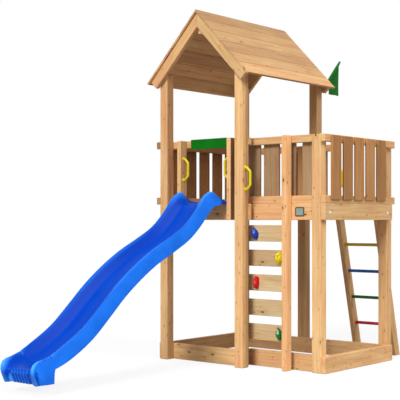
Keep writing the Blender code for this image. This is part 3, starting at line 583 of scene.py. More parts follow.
@dataclass(frozen=True)
class WovenPolyester:
    """Plain-woven polyester flag cloth: a fine grid of threads with a faint sheen.

    The eye sees a slightly mottled green, lighter where the folds catch the light.
    """

    name: str = "woven_polyester"
    colour: str = "#025A12"
    light: str = "#12821E"
    thread_mm: float = 1.6       # real threads are 0.4 mm: drawn coarse enough to show
    wave: float = 0.314          # metres from wave to wave in a wave texture of scale 1
    roughness: float = 0.75

    def build(self) -> Material:
        """Build the material.

        Returns:
            The material.
        """
        material, add, shader = new_material(self.name)
        spot = add("TexCoord").outputs["Object"]
        waves = [add("TexWave", {"Vector": spot, "Scale": self.wave / (self.thread_mm * MM)},
                     bands_direction=axis, wave_profile="SIN").outputs["Fac"] for axis in ("Y", "Z")]
        weave = add("Math", {0: waves[0], 1: waves[1]}, operation="MULTIPLY")
        mottle = add("TexNoise", {"Vector": spot, "Scale": 30.0, "Detail": 3.0})
        part = add("Math", {0: weave, 1: mottle}, operation="MULTIPLY")
        colour = add("Mix", {0: part, 6: linear(self.colour), 7: linear(self.light)}, data_type="RGBA")
        bump = add("Bump", {"Strength": 0.4, "Distance": 0.2 * MM, "Height": weave})
        plug(shader, {"Base Color": colour.outputs[2], "Normal": bump, "Roughness": self.roughness,
                      "Sheen Weight": 0.03, "Specular IOR Level": 0.15})
        return material


@dataclass
class PhotoCamera:
    """The camera, at the photograph's viewing angle.

    Attributes:
        focal_px: Focal length, in pixels of the photograph.
        image_px: Side of the photograph, in pixels.
        horizon_px: Row of the horizon.
        place: Where it stands, in metres.
        turn: How far it is turned from the tower's front, in degrees.
    """

    focal_px: float = 1016.0
    image_px: float = 400.0
    horizon_px: float = 220.0
    place: Vector = field(default_factory=lambda: Vector((6.43, -7.03, 1.30)) - TOWER_CORNER)
    turn: float = 40.2

    def build(self) -> None:
        """Create the camera and make it the scene's."""
        data = bpy.data.cameras.new("photo_camera")
        data.sensor_width = 36.0
        data.lens = self.focal_px / self.image_px * data.sensor_width
        data.shift_y = (self.horizon_px - self.image_px / 2) / self.image_px
        camera = bpy.data.objects.new("photo_camera", data)
        camera.location = self.place
        camera.rotation_euler = (math.radians(90), 0.0, math.radians(self.turn))
        bpy.context.scene.collection.objects.link(camera)
        bpy.context.scene.camera = camera


@dataclass
class Studio:
    """A white floor, a white surround and two soft lamps.

    Attributes:
        floor_side: Side of the floor, in metres.
        glow: How bright the camera sees the floor before the lamps add to it.
        catch: How much of the lamps' light the camera sees on the floor, and so how dark a shadow is.
        bounce: The floor's colour for the light that it throws back on the object.
        surround: Strength of the surround on the object.
        key: Strength of the main lamp, from the front.
        fill: Strength of the second lamp, from the right.
    """

    floor_side: float = 160.0
    glow: float = 0.86
    catch: tuple = (0.14, 0.14, 0.14, 1.0)
    bounce: tuple = (0.5, 0.5, 0.5, 1.0)
    surround: float = 0.29
    key: float = 3.15
    fill: float = 1.7

    def build(self) -> None:
        """Build the floor, the surround and the lamps."""
        self.floor()
        self.world()
        self.lamp("key_light", self.key, elevation=36.0, azimuth=8.0, width=24.0)
        self.lamp("fill_light", self.fill, elevation=42.0, azimuth=91.0, width=30.0)

    def lamp(self, name: str, strength: float, elevation: float, azimuth: float, width: float) -> None:
        """Add a soft, distant lamp.

        Args:
            name: The lamp's name.
            strength: Its strength.
            elevation: Its height above the horizon, in degrees.
            azimuth: Its place round the tower, from the front towards the right, in degrees.
            width: How wide it looks, in degrees.
        """
        data = bpy.data.lights.new(name, "SUN")
        data.energy = strength
        data.angle = math.radians(width)
        lamp = bpy.data.objects.new(name, data)
        lamp.rotation_euler = (math.radians(90 - elevation), 0.0, math.radians(azimuth))
        bpy.context.scene.collection.objects.link(lamp)

    def seen_directly(self, add: Adder) -> Node:
        """Tell what the camera, gloss and glass see from what carries light.

        Args:
            add: Adds a node to the tree.

        Returns:
            A node that gives 1 for rays of the camera, of gloss and of glass, and 0 for the others.
        """
        paths = add("LightPath").outputs
        mirrored = add("Math", {0: paths["Is Glossy Ray"], 1: paths["Is Transmission Ray"]},
                       operation="MAXIMUM")
        return add("Math", {0: paths["Is Camera Ray"], 1: mirrored}, operation="MAXIMUM")

    def floor(self) -> None:
        """A pale floor that the camera sees as white, apart from the object's shadow."""
        shape = bmesh.new()
        bmesh.ops.create_grid(shape, x_segments=1, y_segments=1, size=self.floor_side / 2)
        bmesh.ops.translate(shape, vec=(0.0, 0.0, -0.5 * MM), verts=shape.verts)
        mesh = bpy.data.meshes.new("floor")
        shape.to_mesh(mesh)
        shape.free()
        floor = bpy.data.objects.new("floor", mesh)
        bpy.context.scene.collection.objects.link(floor)
        material, add, shader = new_material("studio_floor")
        glow = add("Emission", {"Color": WHITE, "Strength": self.glow})
        lit = add("AddShader", {0: glow, 1: add("BsdfDiffuse", {"Color": self.catch})})
        plain = add("BsdfDiffuse", {"Color": self.bounce})
        both = add("MixShader", {0: self.seen_directly(add), 1: plain, 2: lit})
        plug(material.node_tree.nodes["Material Output"], {"Surface": both})
        material.node_tree.nodes.remove(shader)
        mesh.materials.append(material)

    def world(self) -> None:
        """White for the camera, softer on the object."""
        world = bpy.data.worlds.new("studio")
        bpy.context.scene.world = world
        world.use_nodes = True
        world.node_tree.nodes.clear()
        add = partial(add_node, world.node_tree)
        soft = add("Background", {"Color": WHITE, "Strength": self.surround})
        white = add("Background", {"Color": WHITE, "Strength": 1.0})
        add("OutputWorld", {"Surface": add("MixShader", {0: self.seen_directly(add), 1: soft, 2: white})})


@dataclass
class TimberFrame:
    """Every timber of the tower, dressed so that its grain runs along it.

    Each table's keys are names of CAD nodes, or what such names begin with.
    """

    wood: PlanedLarch = PlanedLarch()
    # The climbing planks are yellower, and the roof boards differ more among themselves
    woods: dict = field(default_factory=lambda: {
        "climbing_plank": PlanedLarch(pale="#DCCAA0", middle="#CDB486", amber="#A58556", rosy="#C6A57C"),
        "roof_boards": PlanedLarch(variety=0.44, knot_kinds=((120.0, 2.8, 6.0, 0.50),
                                                             (420.0, 7.0, 12.0, 0.36)))})
    grains: dict = field(default_factory=lambda: {
        ("post_", "climbing_upright", "slide_upright", "ladder_upright"): Grain(Run.Z),
        ("base_board_left", "base_board_right", "beam_left", "beam_right", "ridge_beam"): Grain(Run.Y),
        ("base_board", "beam_", "entry_bar", "climbing_plank"): Grain(Run.X),
        ("rafter_front_left", "rafter_back_left"): Grain(Run.X, tilt=-ROOF_TILT),
        ("rafter_front_right", "rafter_back_right"): Grain(Run.X, tilt=ROOF_TILT),
        "ladder_rail": Grain(Run.Z, about=Run.X, tilt=LADDER_LEAN),
        "roof_boards": Grain(Run.Y, split=Run.Z, start=2.5805, pitch=0.10324)})
    # Some timbers are a darker or a lighter cut than the others, but most of these multipliers are painted
    # shade or painted light: the left railing, the left base board, the back posts and rafters, the balcony
    # beam and the roof boards are darkened as painted shade, and the front beam is lightened as painted
    # light against the slide's cast shadow
    tone: float = 0.97
    cut_and_painted_tones: dict = field(default_factory=lambda: {
        "railing_left": 0.32, "railing_back": 0.56, "railing_front": 0.60, "railing_right": 0.56,
        "climbing_plank": 1.04, "beam_balcony": 0.88, "beam_right": 1.03, "roof_boards": 0.77,
        "base_board_left": 0.72, "base_board_right": 1.11, "base_board_balcony": 1.05,
        "beam_front": 1.12, "climbing_upright_right": 1.20, "post_back": 0.80, "rafter_back": 0.84,
        "post_balcony_back": 0.88, "post_balcony_front": 1.03, "rafter_front": 0.88})
    # The right-hand faces of some uprights, painted lighter as painted light or darker as painted shade
    sides: dict = field(default_factory=lambda: {
        "climbing_upright_right": 1.50, "post_balcony_front": 1.24, "post_front_right_inner": 0.68,
        "slide_upright_right": 0.42})
    # A railing's bars, which are darker or paler than its slats, and its slats; the left railing's darker
    # bars are painted shade and the right railing's paler bars are painted light against the slats' shadow
    bar_height: float = 0.065
    bar: float = 0.92
    bars: dict = field(default_factory=lambda: {"railing_left": 0.52, "railing_right": 1.08})
    bar_rows: tuple = (0.10, 0.30)   # from its foot up, and apart: each bar is its own board
    slat_level: float = 0.0215       # just behind the slats' backs, from their outer faces
    # The front railing's cool tint goes with its darker tone as painted shade on its recessed slats
    tint: str = "#FFF4E4"
    tints: dict = field(default_factory=lambda: {
        "railing_right": "#FFE9CE", "railing_front": "#ECF0FF", "railing_left": "#FFEEDC"})
    # Just before the first slat of each railing, and from slat to slat
    slats: dict = field(default_factory=lambda: {
        "railing_left": (0.217, 0.20125), "railing_right": (0.244, 0.187),
        "railing_front": (0.848, 0.1905), "railing_back_left": (0.025, 0.2294),
        "railing_back_right": (0.750, 0.300)})
    deck_start: float = 0.2225       # half a gap in front of the first whole board
    deck_level: float = 0.0295       # just under the boards, from their upper faces
    joist_pitch: float = 0.30        # parts the deck's width, so that each joist has its own wood
    # The knots that stand out in the photograph: a point on the face and a radius, in metres
    marks: dict = field(default_factory=lambda: {
        "climbing_plank_2": ((1.060, 0.180, 0.929, 0.008),),
        "climbing_plank_4": ((1.060, 0.180, 0.487, 0.008),),
        "beam_front": ((0.620, 0.090, 1.354, 0.009),), "beam_balcony": ((1.512, 0.180, 1.347, 0.008),),
        "base_board_front": ((0.280, 0.090, 0.078, 0.008), (0.562, 0.090, 0.079, 0.009)),
        "climbing_upright_right": ((1.350, 0.090, 1.643, 0.008), (1.343, 0.090, 1.403, 0.006)),
        "post_balcony_front": ((1.680, 0.090, 1.409, 0.008), (1.675, 0.090, 0.949, 0.006))})
    seed_step: float = 3.7

    def dress(self) -> None:
        """Give each timber its own piece of wood."""
        for number, name in enumerate(sorted(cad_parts)):
            grain, skin, tone = pick(self.grains, name), self.side(name), pick(self.cut_and_painted_tones, name, self.tone)
            if name.startswith("railing_"):
                grain, skin, tone = self.railing(name, tone)
            elif name == "platform_deck":
                grain, skin, tone = self.deck(name)
            if grain is not None:
                wood = pick(self.woods, name, self.wood)
                lay_on(name, wood.build(name, self.seed_step * number, grain, skin, tone,
                                        self.marks.get(name, ())))

    def side(self, name: str) -> Optional[Skin]:
        """The painted light or painted shade on an upright's right-hand face.

        Args:
            name: The upright's name.

        Returns:
            The layer, or nothing where that face is like the others.
        """
        if name not in self.sides:
            return None
        # A layer over the right-hand face that carries its painted light or painted shade
        return Skin(Grain(Run.Z), Run.X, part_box(name)[1].x - 0.5 * MM, 1, self.sides[name])

    def railing(self, name: str, tone: float) -> tuple[Grain, Skin, float]:
        """How a railing's wood lies: bars along it, slats up and down on its outer side.

        Args:
            name: The railing's name.
            tone: Multiplies the slats' colour.

        Returns:
            How its bars lie, its layer of slats, and what multiplies the bars' colour.
        """
        low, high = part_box(name)
        bars, depth = (Run.Y, Run.X) if name in ("railing_left", "railing_right") else (Run.X, Run.Y)
        outward = -1 if name == "railing_left" else 1
        outer = high[depth.value] if outward > 0 else low[depth.value]
        start, pitch = self.slats[name]
        slats = Grain(Run.Z, bars, start - TOWER_CORNER[bars.value], pitch)
        bands = ((low.z, low.z + self.bar_height), (high.z - self.bar_height, high.z))
        skin = Skin(slats, depth, outer - outward * self.slat_level, outward, tone,
                    self.tints.get(name, self.tint), bands)
        first, apart = self.bar_rows
        return Grain(bars, Run.Z, low.z + first, apart), skin, self.bars.get(name, self.bar)

    def deck(self, name: str) -> tuple[Grain, Skin, float]:
        """How the deck's wood lies: boards along X over joists along Y.

        Args:
            name: The deck's name.

        Returns:
            How its joists lie, its layer of boards, and what multiplies the joists' colour.
        """
        low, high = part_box(name)
        boards = Grain(Run.X, Run.Y, self.deck_start - TOWER_CORNER.y, BOARD_WIDTH)
        skin = Skin(boards, Run.Z, high.z - self.deck_level, 1)
        return Grain(Run.Y, Run.X, low.x, self.joist_pitch), skin, 1.0


@dataclass
class Mouldings:
    """The plastic pieces' finishes, with the ladder's rungs and the flag's staff dressed in theirs."""

    # The slide's paler sideways walls are painted light, and its paler outward edges a painted highlight.
    slide: MouldedPolyethylene = MouldedPolyethylene("slide_polyethylene", "#023CAA", "#0444B4", 0.32, 0.05,
                                                     painted_lit_wall="#1D73EA", rim="#3E9BFF")
    # Name, colour, scuffed colour, roughness, and gloss where it isn't the usual one
    plain: tuple = (
        ("yellow_moulding", "#E4D010", "#E8D63C", 0.26, 0.30),
        ("red_moulding", "#C60E16", "#D02A2C", 0.26, 0.30),
        ("green_moulding", "#066824", "#188038", 0.26, 0.30),
        ("blue_moulding", "#0B329E", "#1A48B0", 0.26, 0.30),
        # The yellow, red and green rungs are darker copies of the mouldings' colours, as painted shade
        ("yellow_rung", "#C0AA12", "#D0BC40", 0.35), ("red_rung", "#A80F22", "#BC3440", 0.35),
        ("green_rung", "#045A1E", "#1C7A36", 0.35), ("blue_rung", "#1C5FB4", "#3F7CC8", 0.35),
        ("yellow_grip", "#CEBC0C", "#D4C436", 0.28, 0.30),
        ("entry_board_green", "#02620A", "#0C7816", 0.42, 0.08),
        ("plate_grey", "#7F8B86", "#97A29C", 0.45), ("plate_olive", "#3F4431", "#565B45", 0.45),
        ("white_cap", "#DADCD8", "#E8E8E4", 0.40))

    def build(self) -> dict:
        """Make the finishes, and dress the rungs and the staff.

        Returns:
            The materials by their names.
        """
        made = {finish.name: finish.build()
                for finish in (self.slide, *(MouldedPolyethylene(*row) for row in self.plain))}
        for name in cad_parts:
            if name.startswith("ladder_rung_"):
                lay_on(name, made[name.rsplit("_", 1)[1] + "_rung"])
        lay_on("flag_staff", made["green_moulding"])
        return made


@dataclass
class SlideShell:
    """The slide's moulded shell, in the frame's own shape, with soft rims and a smooth skin."""

    blue: Material
    merge: float = 0.02 * MM
    flat_turn: float = 0.6       # degrees, up to which two faces count as one
    rim_turn: float = 42.0       # degrees, from which an edge is a rim
    rim_radius: float = 3.5 * MM

    def build(self) -> None:
        """Copy the frame's slide, merge its faces, round its rims and replace it."""
        shape = bmesh.new()
        shape.from_mesh(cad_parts["slide"].data)
        bmesh.ops.remove_doubles(shape, verts=shape.verts, dist=self.merge)
        bmesh.ops.dissolve_limit(shape, angle_limit=math.radians(self.flat_turn), verts=shape.verts,
                                 edges=shape.edges)
        rims = [edge for edge in shape.edges
                if edge.is_manifold and edge.calc_face_angle() > math.radians(self.rim_turn)]
        bmesh.ops.bevel(shape, geom=rims, offset=self.rim_radius, segments=2, profile=0.5, affect="EDGES",
                        material=-1, clamp_overlap=True)
        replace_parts(finish_piece("slide_shell", shape, [self.blue], 38.0), "slide")


@dataclass
class GripHandles:
    """Bowed yellow grips: two round flanges, slanting legs and a straight bar between two bends."""

    yellow: Material
    length: float = 0.195        # between the middles of the flanges
    reach: float = 0.052         # from the post to the middle of the bar
    radius: float = 0.0113
    bend_radius: float = 0.016
    slant: float = math.pi / 4   # of the legs
    stub: float = 0.008          # straight out of the flange
    flange_radius: float = 0.021
    flange_height: float = 0.0058
    flange_taper: float = 0.82   # its outer radius, as a share of the other
    flange_rim: float = 1.5 * MM
    flange_gap: float = 0.4 * MM
    # The middle of each grip's foot line on its post's face, and its turn about the vertical
    places: dict = field(default_factory=lambda: {
        "slide_left": (0.255, 0.045, 1.765, 0.0), "slide_right": (0.795, 0.045, 1.765, math.pi),
        "climbing": (0.974, 0.045, 1.665, 0.0), "ladder": (1.110, 1.330, 1.700, 0.0)})

    def build(self) -> None:
        """Build the four grips where the CAD has them."""
        for name, (*place, turn) in self.places.items():
            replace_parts(self.grip("grip_" + name, Vector(place) - TOWER_CORNER, turn), "handle_" + name)

    def grip(self, name: str, place: Vector, turn: float) -> Object:
        """Build one grip.

        Args:
            name: The piece's name.
            place: The middle of its foot line on the post's face.
            turn: How far it is turned about the vertical.

        Returns:
            The grip.
        """
        shape = bmesh.new()
        rim = bmesh.ops.create_circle(shape, cap_ends=True, segments=20, radius=self.radius,
                                      matrix=Matrix.Rotation(math.pi / 2, 4, "Y"))
        bmesh.ops.translate(shape, vec=(1 * MM, 0.0, -self.length / 2), verts=rim["verts"])
        end = shape.faces[:]
        bends = self.bend_radius * (math.sin(self.slant) + 1 - math.cos(self.slant))
        leg = (self.reach - self.stub - bends) / math.cos(self.slant)
        bar = self.length - 2 * (bends + leg * math.sin(self.slant))
        heading = 0.0
        for run, bend in ((self.stub, self.slant), (leg, self.slant), (bar, self.slant), (leg, self.slant),
                          (self.stub, 0.0)):
            end = self.straight(shape, end, run, heading)
            if bend:
                end = self.curve(shape, end, heading, bend)
                heading += bend
        self.flanges(shape)
        bmesh.ops.rotate(shape, cent=(0, 0, 0), matrix=Matrix.Rotation(turn, 3, "Z"), verts=shape.verts)
        bmesh.ops.translate(shape, vec=place, verts=shape.verts)
        return finish_piece(name, shape, [self.yellow])

    def straight(self, shape: BMesh, end: list, run: float, heading: float) -> list:
        """Draw the tube's end out straight.

        Args:
            shape: The grip's shape.
            end: The face at the tube's end.
            run: How far, in metres.
            heading: The way it goes: 0 is out of the post, and a quarter turn is up.

        Returns:
            The new end.
        """
        moved = bmesh.ops.extrude_face_region(shape, geom=end)["geom"]
        bmesh.ops.delete(shape, geom=end, context="FACES_ONLY")
        verts = [item for item in moved if isinstance(item, BMVert)]
        bmesh.ops.translate(shape, vec=(run * math.cos(heading), 0.0, run * math.sin(heading)), verts=verts)
        return [item for item in moved if isinstance(item, BMFace)]

    def curve(self, shape: BMesh, end: list, heading: float, bend: float) -> list:
        """Draw the tube's end round a bend.

        Args:
            shape: The grip's shape.
            end: The face at the tube's end.
            heading: The way it goes before the bend.
            bend: How far it turns.

        Returns:
            The new end.
        """
        middle = end[0].calc_center_median()
        centre = middle + Vector((-math.sin(heading), 0.0, math.cos(heading))) * self.bend_radius
        turned = bmesh.ops.spin(shape, geom=end, cent=centre, axis=(0.0, -1.0, 0.0), angle=bend,
                                steps=5, use_merge=False, use_duplicate=False)
        return [item for item in turned["geom_last"] if isinstance(item, BMFace)]

    def flanges(self, shape: BMesh) -> None:
        """Add the two round flanges with their softened rims.

        Args:
            shape: The grip's shape.
        """
        for side in (-1, 1):
            place = Matrix.Translation((self.flange_height / 2 + self.flange_gap, 0.0,
                                        side * self.length / 2))
            made = bmesh.ops.create_cone(shape, cap_ends=True, segments=28, radius1=self.flange_radius,
                                         radius2=self.flange_radius * self.flange_taper,
                                         depth=self.flange_height,
                                         matrix=place @ Matrix.Rotation(math.pi / 2, 4, "Y"))
            outer = max(vert.co.x for vert in made["verts"]) - 0.1 * MM
            edges = [edge for edge in shape.edges
                     if all(vert in made["verts"] and vert.co.x > outer for vert in edge.verts)]
            bmesh.ops.bevel(shape, geom=edges, offset=self.flange_rim, segments=3, profile=0.5,
                            affect="EDGES", material=-1)


@dataclass(frozen=True)
class HoldShape:
    """The outline and relief of one climbing hold.

    Attributes:
        bottom: How wide its foot is, as a share of its middle.
        top: How wide its head is, as a share of its middle.
        lean: How far its ends lean sideways, as a share of its half width.
        square: 2 for a round outline, 4 for a squarish one.
        lumps: How many lumps it has round its middle.
        detail: How finely it is modelled: 2 shows facets.
        fill: How much of its CAD box's width it fills.
    """

    bottom: float
    top: float
    lean: float
    square: float
    lumps: int
    detail: int
    fill: float = 1.0


@dataclass
class ClimbingHolds:
    """Four moulded holds: a lumpy rock shape with a finger scoop and two sunk bolts."""

    colours: dict
    steel: Material
    shapes: dict = field(default_factory=lambda: {
        "blue": HoldShape(0.55, 0.08, -0.50, 2.0, 3, 2), "yellow": HoldShape(0.50, 0.92, 0.0, 2.6, 5, 5),
        "red": HoldShape(0.62, 1.0, 0.0, 4.0, 2, 4, 0.82), "green": HoldShape(0.70, 0.10, -0.45, 2.0, 3, 2)})
    lump: float = 0.04           # how far the outline swells, as a share of its half width
    lump_start: float = 0.6
    ridge: float = 0.10          # how far the front swells, as a share of the depth
    scoop: float = 0.34          # how deep the finger scoop is, as a share of the depth
    scoop_height: float = 0.30   # its middle, as a share of the half height
    scoop_spread: tuple = (0.45, 0.05)   # how far it spreads across and up, squared
    bolt_offset: float = 0.20    # from the middle, as a share of the height
    bolt_proud: float = 0.4 * MM
    bolt_margin: float = 1.2 * MM        # keeps the heads inside the hold's box
    bolt_radius: float = 6.5 * MM
    socket_wall: float = 2.6 * MM
    socket_depth: float = 1.6 * MM

    def build(self) -> None:
        """Build each hold in its CAD node's box."""
        for colour, form in self.shapes.items():
            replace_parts(self.hold(colour, form), "climbing_hold_" + colour)

    def hold(self, colour: str, form: HoldShape) -> Object:
        """Build one hold.

        Args:
            colour: Its colour's name.
            form: Its shape.

        Returns:
            The hold.
        """
        low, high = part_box("climbing_hold_" + colour)
        shape = bmesh.new()
        bmesh.ops.create_icosphere(shape, subdivisions=form.detail, radius=1.0)
        flat = bmesh.ops.bisect_plane(shape, geom=shape.verts[:] + shape.edges[:] + shape.faces[:],
                                      plane_co=(0, 0, 0), plane_no=(0, 1, 0), clear_outer=True)
        rim = [edge for edge in flat["geom_cut"] if isinstance(edge, BMEdge)]
        bmesh.ops.holes_fill(shape, edges=rim, sides=0)
        for vert in shape.verts:
            x, y, z = vert.co
            turn = math.atan2(z, x)
            power = form.square
            full = (abs(math.cos(turn)) ** power + abs(math.sin(turn)) ** power) ** (-1 / power)
            up = z * full
            width = 1.0 - (1.0 - (form.top if up > 0 else form.bottom)) * up * up
            swell = 1.0 - self.lump + self.lump * math.cos(form.lumps * turn + self.lump_start)
            fade = x * x / self.scoop_spread[0] + (z - self.scoop_height) ** 2 / self.scoop_spread[1]
            scoop = 1.0 - self.scoop * math.exp(-fade)
            ridge = 1.0 - self.ridge * math.cos(2.0 * turn * form.lumps)
            vert.co = (x * full * width * swell + form.lean * up * abs(up), y * scoop * ridge, up * swell)
        spans = [[vert.co[axis] for vert in shape.verts] for axis in range(3)]
        limits = [(min(span), max(span)) for span in spans]
        fill = (form.fill, 1.0, 1.0)
        for vert in shape.verts:
            for axis, (least, most) in enumerate(limits):
                share = (vert.co[axis] - least) / (most - least) * fill[axis]
                vert.co[axis] = low[axis] + share * (high[axis] - low[axis])
        self.bolts(shape, low, high)
        return finish_piece("hold_" + colour, shape, [self.colours[colour + "_moulding"], self.steel],
                            4.0 if form.detail < 3 else 50.0)

    def bolts(self, shape: BMesh, low: Vector, high: Vector) -> None:
        """Add the two bolt heads, each with its socket, in the thickest part of the hold.

        Args:
            shape: The hold's shape.
            low: The lowest corner of its box.
            high: The highest corner of its box.
        """
        middle = (low + high) / 2
        for share in (-self.bolt_offset, self.bolt_offset):
            spot = Vector((middle.x, 0.0, middle.z + share * (high.z - low.z)))
            near = min((vert for vert in shape.verts if vert.co.y < high.y - 1 * MM),
                       key=lambda vert: math.hypot(vert.co.x - spot.x, vert.co.z - spot.z))
            spot.y = max(near.co.y, low.y + self.bolt_margin) - self.bolt_proud
            place = Matrix.Translation(spot) @ Side.FRONT.value.to_track_quat("Z", "Y").to_matrix().to_4x4()
            head = bmesh.ops.create_circle(shape, cap_ends=True, segments=18, radius=self.bolt_radius,
                                           matrix=place)
            top = list({face for vert in head["verts"] for face in vert.link_faces})
            rim = bmesh.ops.inset_region(shape, faces=top, thickness=self.socket_wall, depth=0.0)
            for face in top + rim["faces"]:
                face.material_index = 1
            bmesh.ops.translate(shape, vec=(0.0, self.socket_depth, 0.0),
                                verts=list({vert for face in top for vert in face.verts}))


@dataclass
class SmallBoards:
    """The bare green board over the slide entry and the bare two-tone plate on the balcony beam."""

    green: Material
    grey: Material
    olive: Material
    rim: float = 1.4 * MM
    recess: float = 1.0 * MM
    recess_wall: float = 0.8 * MM

    def build(self) -> None:
        """Build both."""
        self.board("entry_board", (0.314, 0.736), (1.949, 2.039), (0.0775, 0.0897), 0.007,
                   [self.green], 0.007)
        self.board("beam_plate", (1.411, 1.505), (1.331, 1.412), (0.1750, 0.1797), 0.013,
                   [self.olive, self.grey], 0.008)

    def board(self, name: str, across: tuple, up: tuple, depth: tuple, corner: float,
              materials: list, border: float) -> None:
        """Build a flat board with rounded corners, a softened rim and a shallow recessed field.

        Args:
            name: The piece's name.
            across: Its left and right ends, in the tower's own measures.
            up: Its lower and upper ends.
            depth: Its front and back faces.
            corner: The radius of its corners.
            materials: The material of its body and, where it has one, of its field.
            border: From its edge to the field.
        """
        shape = bmesh.new()
        bmesh.ops.create_cube(shape, size=1.0)
        low, high = (Vector(ends) for ends in zip(across, depth, up))
        bmesh.ops.scale(shape, vec=high - low, verts=shape.verts)
        along = [edge for edge in shape.edges
                 if abs((edge.verts[0].co - edge.verts[1].co).normalized().y) > 0.9]
        bmesh.ops.bevel(shape, geom=along, offset=corner, segments=6, profile=0.5, affect="EDGES",
                        material=-1)
        front = min(shape.faces, key=lambda face: face.calc_center_median().y)
        bmesh.ops.bevel(shape, geom=list(front.edges), offset=self.rim, segments=3, profile=0.5,
                        affect="EDGES", material=-1)
        front = max((face for face in shape.faces if face.normal.y < -0.99),
                    key=lambda face: face.calc_area())
        bmesh.ops.inset_region(shape, faces=[front], thickness=border, depth=0.0)
        bmesh.ops.inset_region(shape, faces=[front], thickness=self.recess_wall, depth=-self.recess)
        front.material_index = len(materials) - 1
        bmesh.ops.translate(shape, vec=(low + high) / 2 - TOWER_CORNER, verts=shape.verts)
        finish_piece(name, shape, materials, 30.0)


@dataclass
class Fixings:
    """Countersunk screws in every board, and domed caps over the beam bolts."""

    steel: Material
    white: Material
    screw_radius: float = 4.2 * MM
    proud: float = 0.35 * MM
    flush: float = 0.08 * MM         # on the right railing, which is the tower's widest place
    sunk: float = 0.3 * MM           # how far a head starts inside the wood
    half_pair: float = 0.040         # half the distance between two screws side by side
    slat_heights: tuple = (1.492, 1.9975)
    plank_top: float = 1.255
    plank_pitch: float = 0.2185
    plank_screws: tuple = (0.035, 0.110)     # down from a plank's upper edge
    deck_top: float = 1.445
    ridge: tuple = (0.487, 3.1999)   # X and Z
    roof_board: float = 0.14352      # width down the slope
    rafters: tuple = (-0.0225, 1.2825)
    rung_heights: tuple = (1.064, 0.8083, 0.5527, 0.297)
    ladder_foot: float = 1.6621      # Y of the rails' middle at the ground
    cap_radius: float = 0.013
    cap_height: float = 0.45         # as a share of its radius
    post_heights: tuple = (1.995, 1.480, 1.405, 1.335, 0.110, 0.035)
    # The side that a row of frame screws looks to, and its X, Y and Z from the tower's corner
    frame_rows: tuple = (
        (Side.FRONT, [1.6415], [0.180], post_heights), (Side.FRONT, [1.3505], [0.090], post_heights),
        (Side.BACK, [1.640], [1.375], post_heights),
        (Side.FRONT, [0.045, 0.929], [0.0], [1.405, 1.340, 0.110, 0.035]),
        (Side.RIGHT, [1.715], [0.225, 1.270], [1.405, 1.340, 0.110, 0.035]),
        (Side.LEFT, [-0.045], [0.110, 1.215], [0.110, 0.035]),
        (Side.BACK, [0.12, 0.90], [1.285], [0.110, 0.035]),
        (Side.FRONT, [0.2325, 0.8175], [0.0], [2.000, 1.405, 1.340]),
        (Side.FRONT, [1.530], [0.180], [1.371]), (Side.UP, [0.470, 0.580], [0.115], [1.4526]))

    def build(self) -> None:
        """Build one piece for each group of screws, and one for the caps."""
        self.screws("railing_screws", self.slat_places())
        self.screws("climbing_screws", self.plank_places())
        self.screws("deck_screws", self.deck_places())
        self.screws("roof_screws", self.roof_places())
        self.screws("frame_screws", self.frame_places())
        self.caps()

    def screws(self, name: str, places: list) -> None:
        """Build a group of screw heads, each a low disc with a socket.

        Args:
            name: The piece's name.
            places: Each head's place, its outward direction and how proud it stands.
        """
        shape = bmesh.new()
        for place, out, proud in places:
            turn = out.to_track_quat("Z", "Y").to_matrix().to_4x4()
            spot = Matrix.Translation(Vector(place) - TOWER_CORNER - out * self.sunk) @ turn
            head = bmesh.ops.create_circle(shape, cap_ends=True, segments=12, radius=self.screw_radius,
                                           matrix=spot)
            top = list({face for vert in head["verts"] for face in vert.link_faces})
            raised = bmesh.ops.extrude_face_region(shape, geom=top)["geom"]
            bmesh.ops.delete(shape, geom=top, context="FACES_ONLY")
            bmesh.ops.translate(shape, vec=out * (proud + self.sunk),
                                verts=[item for item in raised if isinstance(item, BMVert)])
            face = [item for item in raised if isinstance(item, BMFace)]
            bmesh.ops.inset_region(shape, faces=face, thickness=self.screw_radius * 0.50, depth=0.0)
            bmesh.ops.inset_region(shape, faces=face, thickness=0.1 * MM, depth=-0.3 * MM)
        finish_piece(name, shape, [self.steel], 30.0)

    def row(self, side: Side, xs: list, ys: list, zs: list, proud: Optional[float] = None) -> list:
        """Screws wherever the given X, Y and Z meet.

        Args:
            side: The side that they look to.
            xs: Their places along X.
            ys: Their places along Y.
            zs: Their heights.
            proud: How proud they stand, where it isn't as usual.

        Returns:
            The places, as screws takes them.
        """
        proud = self.proud if proud is None else proud
        return [((x, y, z), side.value, proud) for x in xs for y in ys for z in zs]

    def spread(self, start: float, end: float, count: int) -> list:
        """The middles of boards with even gaps."""
        pitch = (end - BOARD_WIDTH - start) / (count - 1)
        return [start + pitch * number + BOARD_WIDTH / 2 for number in range(count)]

    def pairs(self, middles: list) -> list:
        """Two places beside each middle."""
        return [middle + step for middle in middles for step in (-self.half_pair, self.half_pair)]

    def slat_places(self) -> list:
        """Four screws in each slat: two into the top bar and two into the lower bar.

        Returns:
            The places, as screws takes them.
        """
        heights = self.slat_heights
        return (self.row(Side.LEFT, [-0.065], self.pairs(self.spread(0.237, 1.187, 5)), heights)
                + self.row(Side.RIGHT, [1.73484], self.pairs(self.spread(0.264, 1.157, 5)), heights,
                           self.flush)
                + self.row(Side.BACK, self.pairs([0.9365, 1.1235, 1.312, 1.5157]), [0.245], heights)
                + self.row(Side.BACK, self.pairs(self.spread(0.045, 0.6487, 3)), [1.325], heights)
                + self.row(Side.BACK, self.pairs([0.9116]), [1.350], heights))

    def plank_places(self) -> list:
        """Two screws at each end of each climbing plank, from behind.

        Returns:
            The places, as screws takes them.
        """
        heights = [self.plank_top - plank * self.plank_pitch - down
                   for plank in range(5) for down in self.plank_screws]
        return self.row(Side.BACK, [0.8875, 1.343], [0.208], heights)

